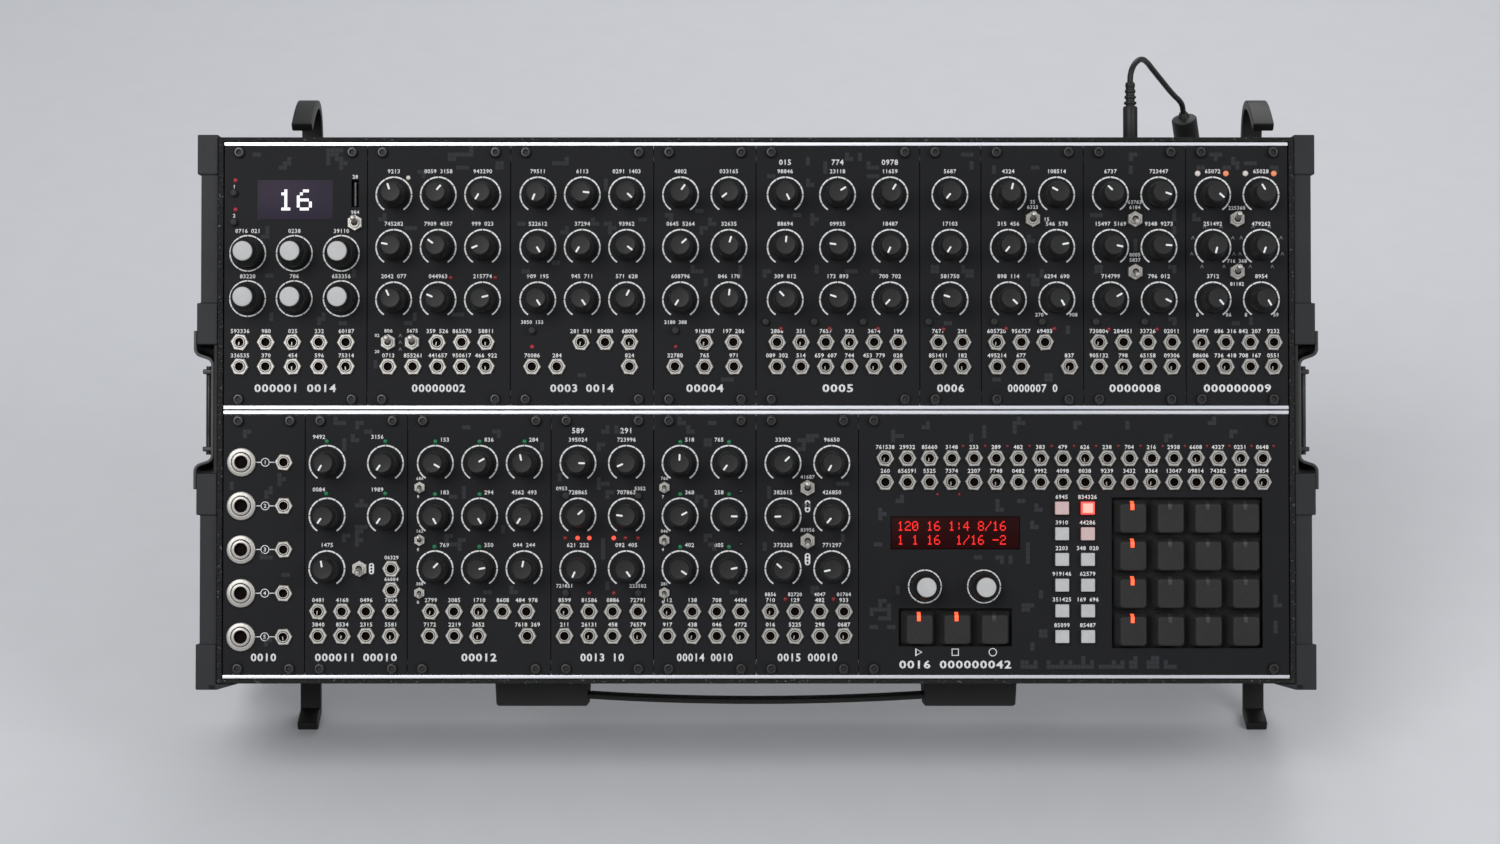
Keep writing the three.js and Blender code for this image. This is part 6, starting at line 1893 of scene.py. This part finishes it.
samplerForm = {
    "place": (0.496, 37.6), "half": (18.4, 9.6), "frame": 0.35, "frameHigh": 0.25, "low": -0.2,
    "high": 0.5, "edge": 0.2 * mm, "frameEdge": 0.1 * mm, "signs": 2, "lines": ["16"],
    "dot": (1.42, 1.42), "dotHeights": (0.45, 0.54), "step": (1.5, 1.5), "letter": 9.2, "line": 0,
}


def dotSpots(size, middle):    # one place for every lit dot
    made = []
    stepX, stepY = [step * mm for step in size["step"]]
    for row, signs in enumerate(size["lines"]):
        for index, sign in enumerate(signs):
            x = middle[0] + (index - (size["signs"] - 1) / 2) * size["letter"] * mm
            y = middle[1] + ((len(size["lines"]) - 1) / 2 - row) * size["line"] * mm
            for down, cells in enumerate(dotRows.get(sign, "").split()):
                made += [(x + (along - 2) * stepX, y + (3 - down) * stepY)
                         for along, cell in enumerate(cells) if cell == "1"]
    return made


def makeDots(name, size, middle, material):
    half = [part / 2 for part in size["dot"]]
    dot = keepMaster(coat(boxRound("dot", (0, 0), *half, *size["dotHeights"]), finish[material]))
    item = copiesOf(name, [(dot, moved(*spot)) for spot in dotSpots(size, middle)])
    settle(item, "case", "display_lens")


def makeDisplay():
    module, size = modules["sequencer"], displayForm
    middle = spotOn(module, *module["display"])
    lens = boxRound("display_window_lens", middle, *size["half"], size["low"], size["high"],
                    size["edge"])
    settle(coat(smooth(lens), finish["redGlass"]), "case", "display_lens", "display_window")
    makeDots("display_window_dots", size, middle, "digitGlow")


def makeScreen():
    size = samplerForm
    middle = spotOn(modules["sampler"], *size["place"])
    glass = boxRound("glass", middle, *size["half"], size["low"], size["high"], size["edge"])
    # A near-black frame round the glass: painted shade at the recessed screen's edge.
    half = [part + size["frame"] for part in size["half"]]
    paintedShadeFrame = boxRound("sampler_screen_glass", middle, *half, size["low"], size["frameHigh"],
                      size["frameEdge"])
    parts = [coat(paintedShadeFrame, finish["paintedRecessShade"]), coat(glass, finish["screenGlass"])]
    settle(smooth(joinAll(paintedShadeFrame.name, parts)), "case", "display_lens")
    makeDots("sampler_screen_dots", size, middle, "whiteGlow")


makeDisplay()
makeScreen()
print("screens made")

# Pieces that move, each on a body of its own
shaftForm = {"sides": 16, "rings": [(3, -7), (3, 0.4)]}


def makeShaft():
    return turnedPiece("shaft", shaftForm, "nutNickel")


def liveKnobs():
    for name, module in modules.items():
        for column, row, spot in knobSpots(module):
            if (column, row) != module["live"]:
                continue
            if "encoders" in module:
                dial, turn, kind, slotName = makeEncoder(), 0, "encoder", "encoder_grey"
            else:
                dial = copiesOf("knob", [(kinds["knob"], Matrix.Identity(4))])
                turn, kind, slotName = -module["pointers"][row][column], "knob", "knob_black"
            item = joinAll(f"{name}_{kind}_dial", [dial, makeShaft()])
            settle(item, f"{name}_{kind}", slotName, f"{name}_{kind}",
                   place=tilt @ atSpot(spot, turn))


def liveDial():    # the left one of the sequencer's two
    module = modules["sequencer"]
    left, right = [atSpot(spotOn(module, share, module["dialRow"])) for share in module["dials"]]
    dial = joinAll("sequencer_encoder_dial", [makeEncoder(), makeShaft()])
    settle(dial, "sequencer_encoder", "encoder_grey", "sequencer_encoder", place=tilt @ left)
    settle(copiesOf("sequencer_knobs", [(kinds["encoder"], right)]), "case", "knob_black")


def liveKeys():    # the first key of each group moves
    module = modules["sequencer"]
    for key, group in keyGroups.items():
        places = [(kinds["litKey" if index in group["lit"] else "key"],
                   atSpot(spot, up=module["keyProud"]))
                  for index, spot in enumerate(keySpots(module, key))]
        live = copiesOf(f"{group['live']}_cap", places[:1])
        settle(live, group["live"], "key_black", group["live"])
        settle(copiesOf(group["fixed"], places[1:]), "case", "key_black")


def liveSquare():
    module = modules["sequencer"]
    places = []
    for index, spot in enumerate(squareSpots(module)):
        if index == module["liveSquare"]:
            live = makeSquare("redCap")
            live.name = "square_button_cap"
            settle(live, "square_button", "frosted_button", "square_button",
                   place=tilt @ atSpot(spot))
        else:
            kind = "pinkCap" if index in module["pinkSquares"] else "frostedCap"
            places.append((kinds[kind], atSpot(spot)))
    settle(copiesOf("square_buttons_fixed", places), "case", "frosted_button")


def liveSmallPieces():
    module = modules["envelope"]
    spot = spotOn(module, *module["buttons"][module["liveButton"]])
    rings = [(buttonForm["rings"][0][0], -buttonForm["sunk"]), *buttonForm["rings"][1:]]
    button = turnedForm("envelope_button_cap", inMm(rings), buttonForm["sides"])
    settle(coat(button, finish["keyPlastic"]), "envelope_button", "key_black", "envelope_button",
           place=tilt @ atSpot(spot))
    module = modules["wave"]
    share, height, way = module["toggles"][module["liveToggle"]]
    lever = makeLever(toggleForm["lean"])
    lever.name = "wave_toggle_bat"
    settle(smooth(lever), "wave_toggle_lever", "nickel_plate", "wave_toggle_lever",
           place=tilt @ atSpot(spotOn(module, share, height)))


liveKnobs()
liveDial()
liveKeys()
liveSquare()
liveSmallPieces()
print("moving pieces made")

coat(frame["nodes"]["power_board"], finish["boardLacquer"])

for master in masters:
    bpy.data.objects.remove(master)
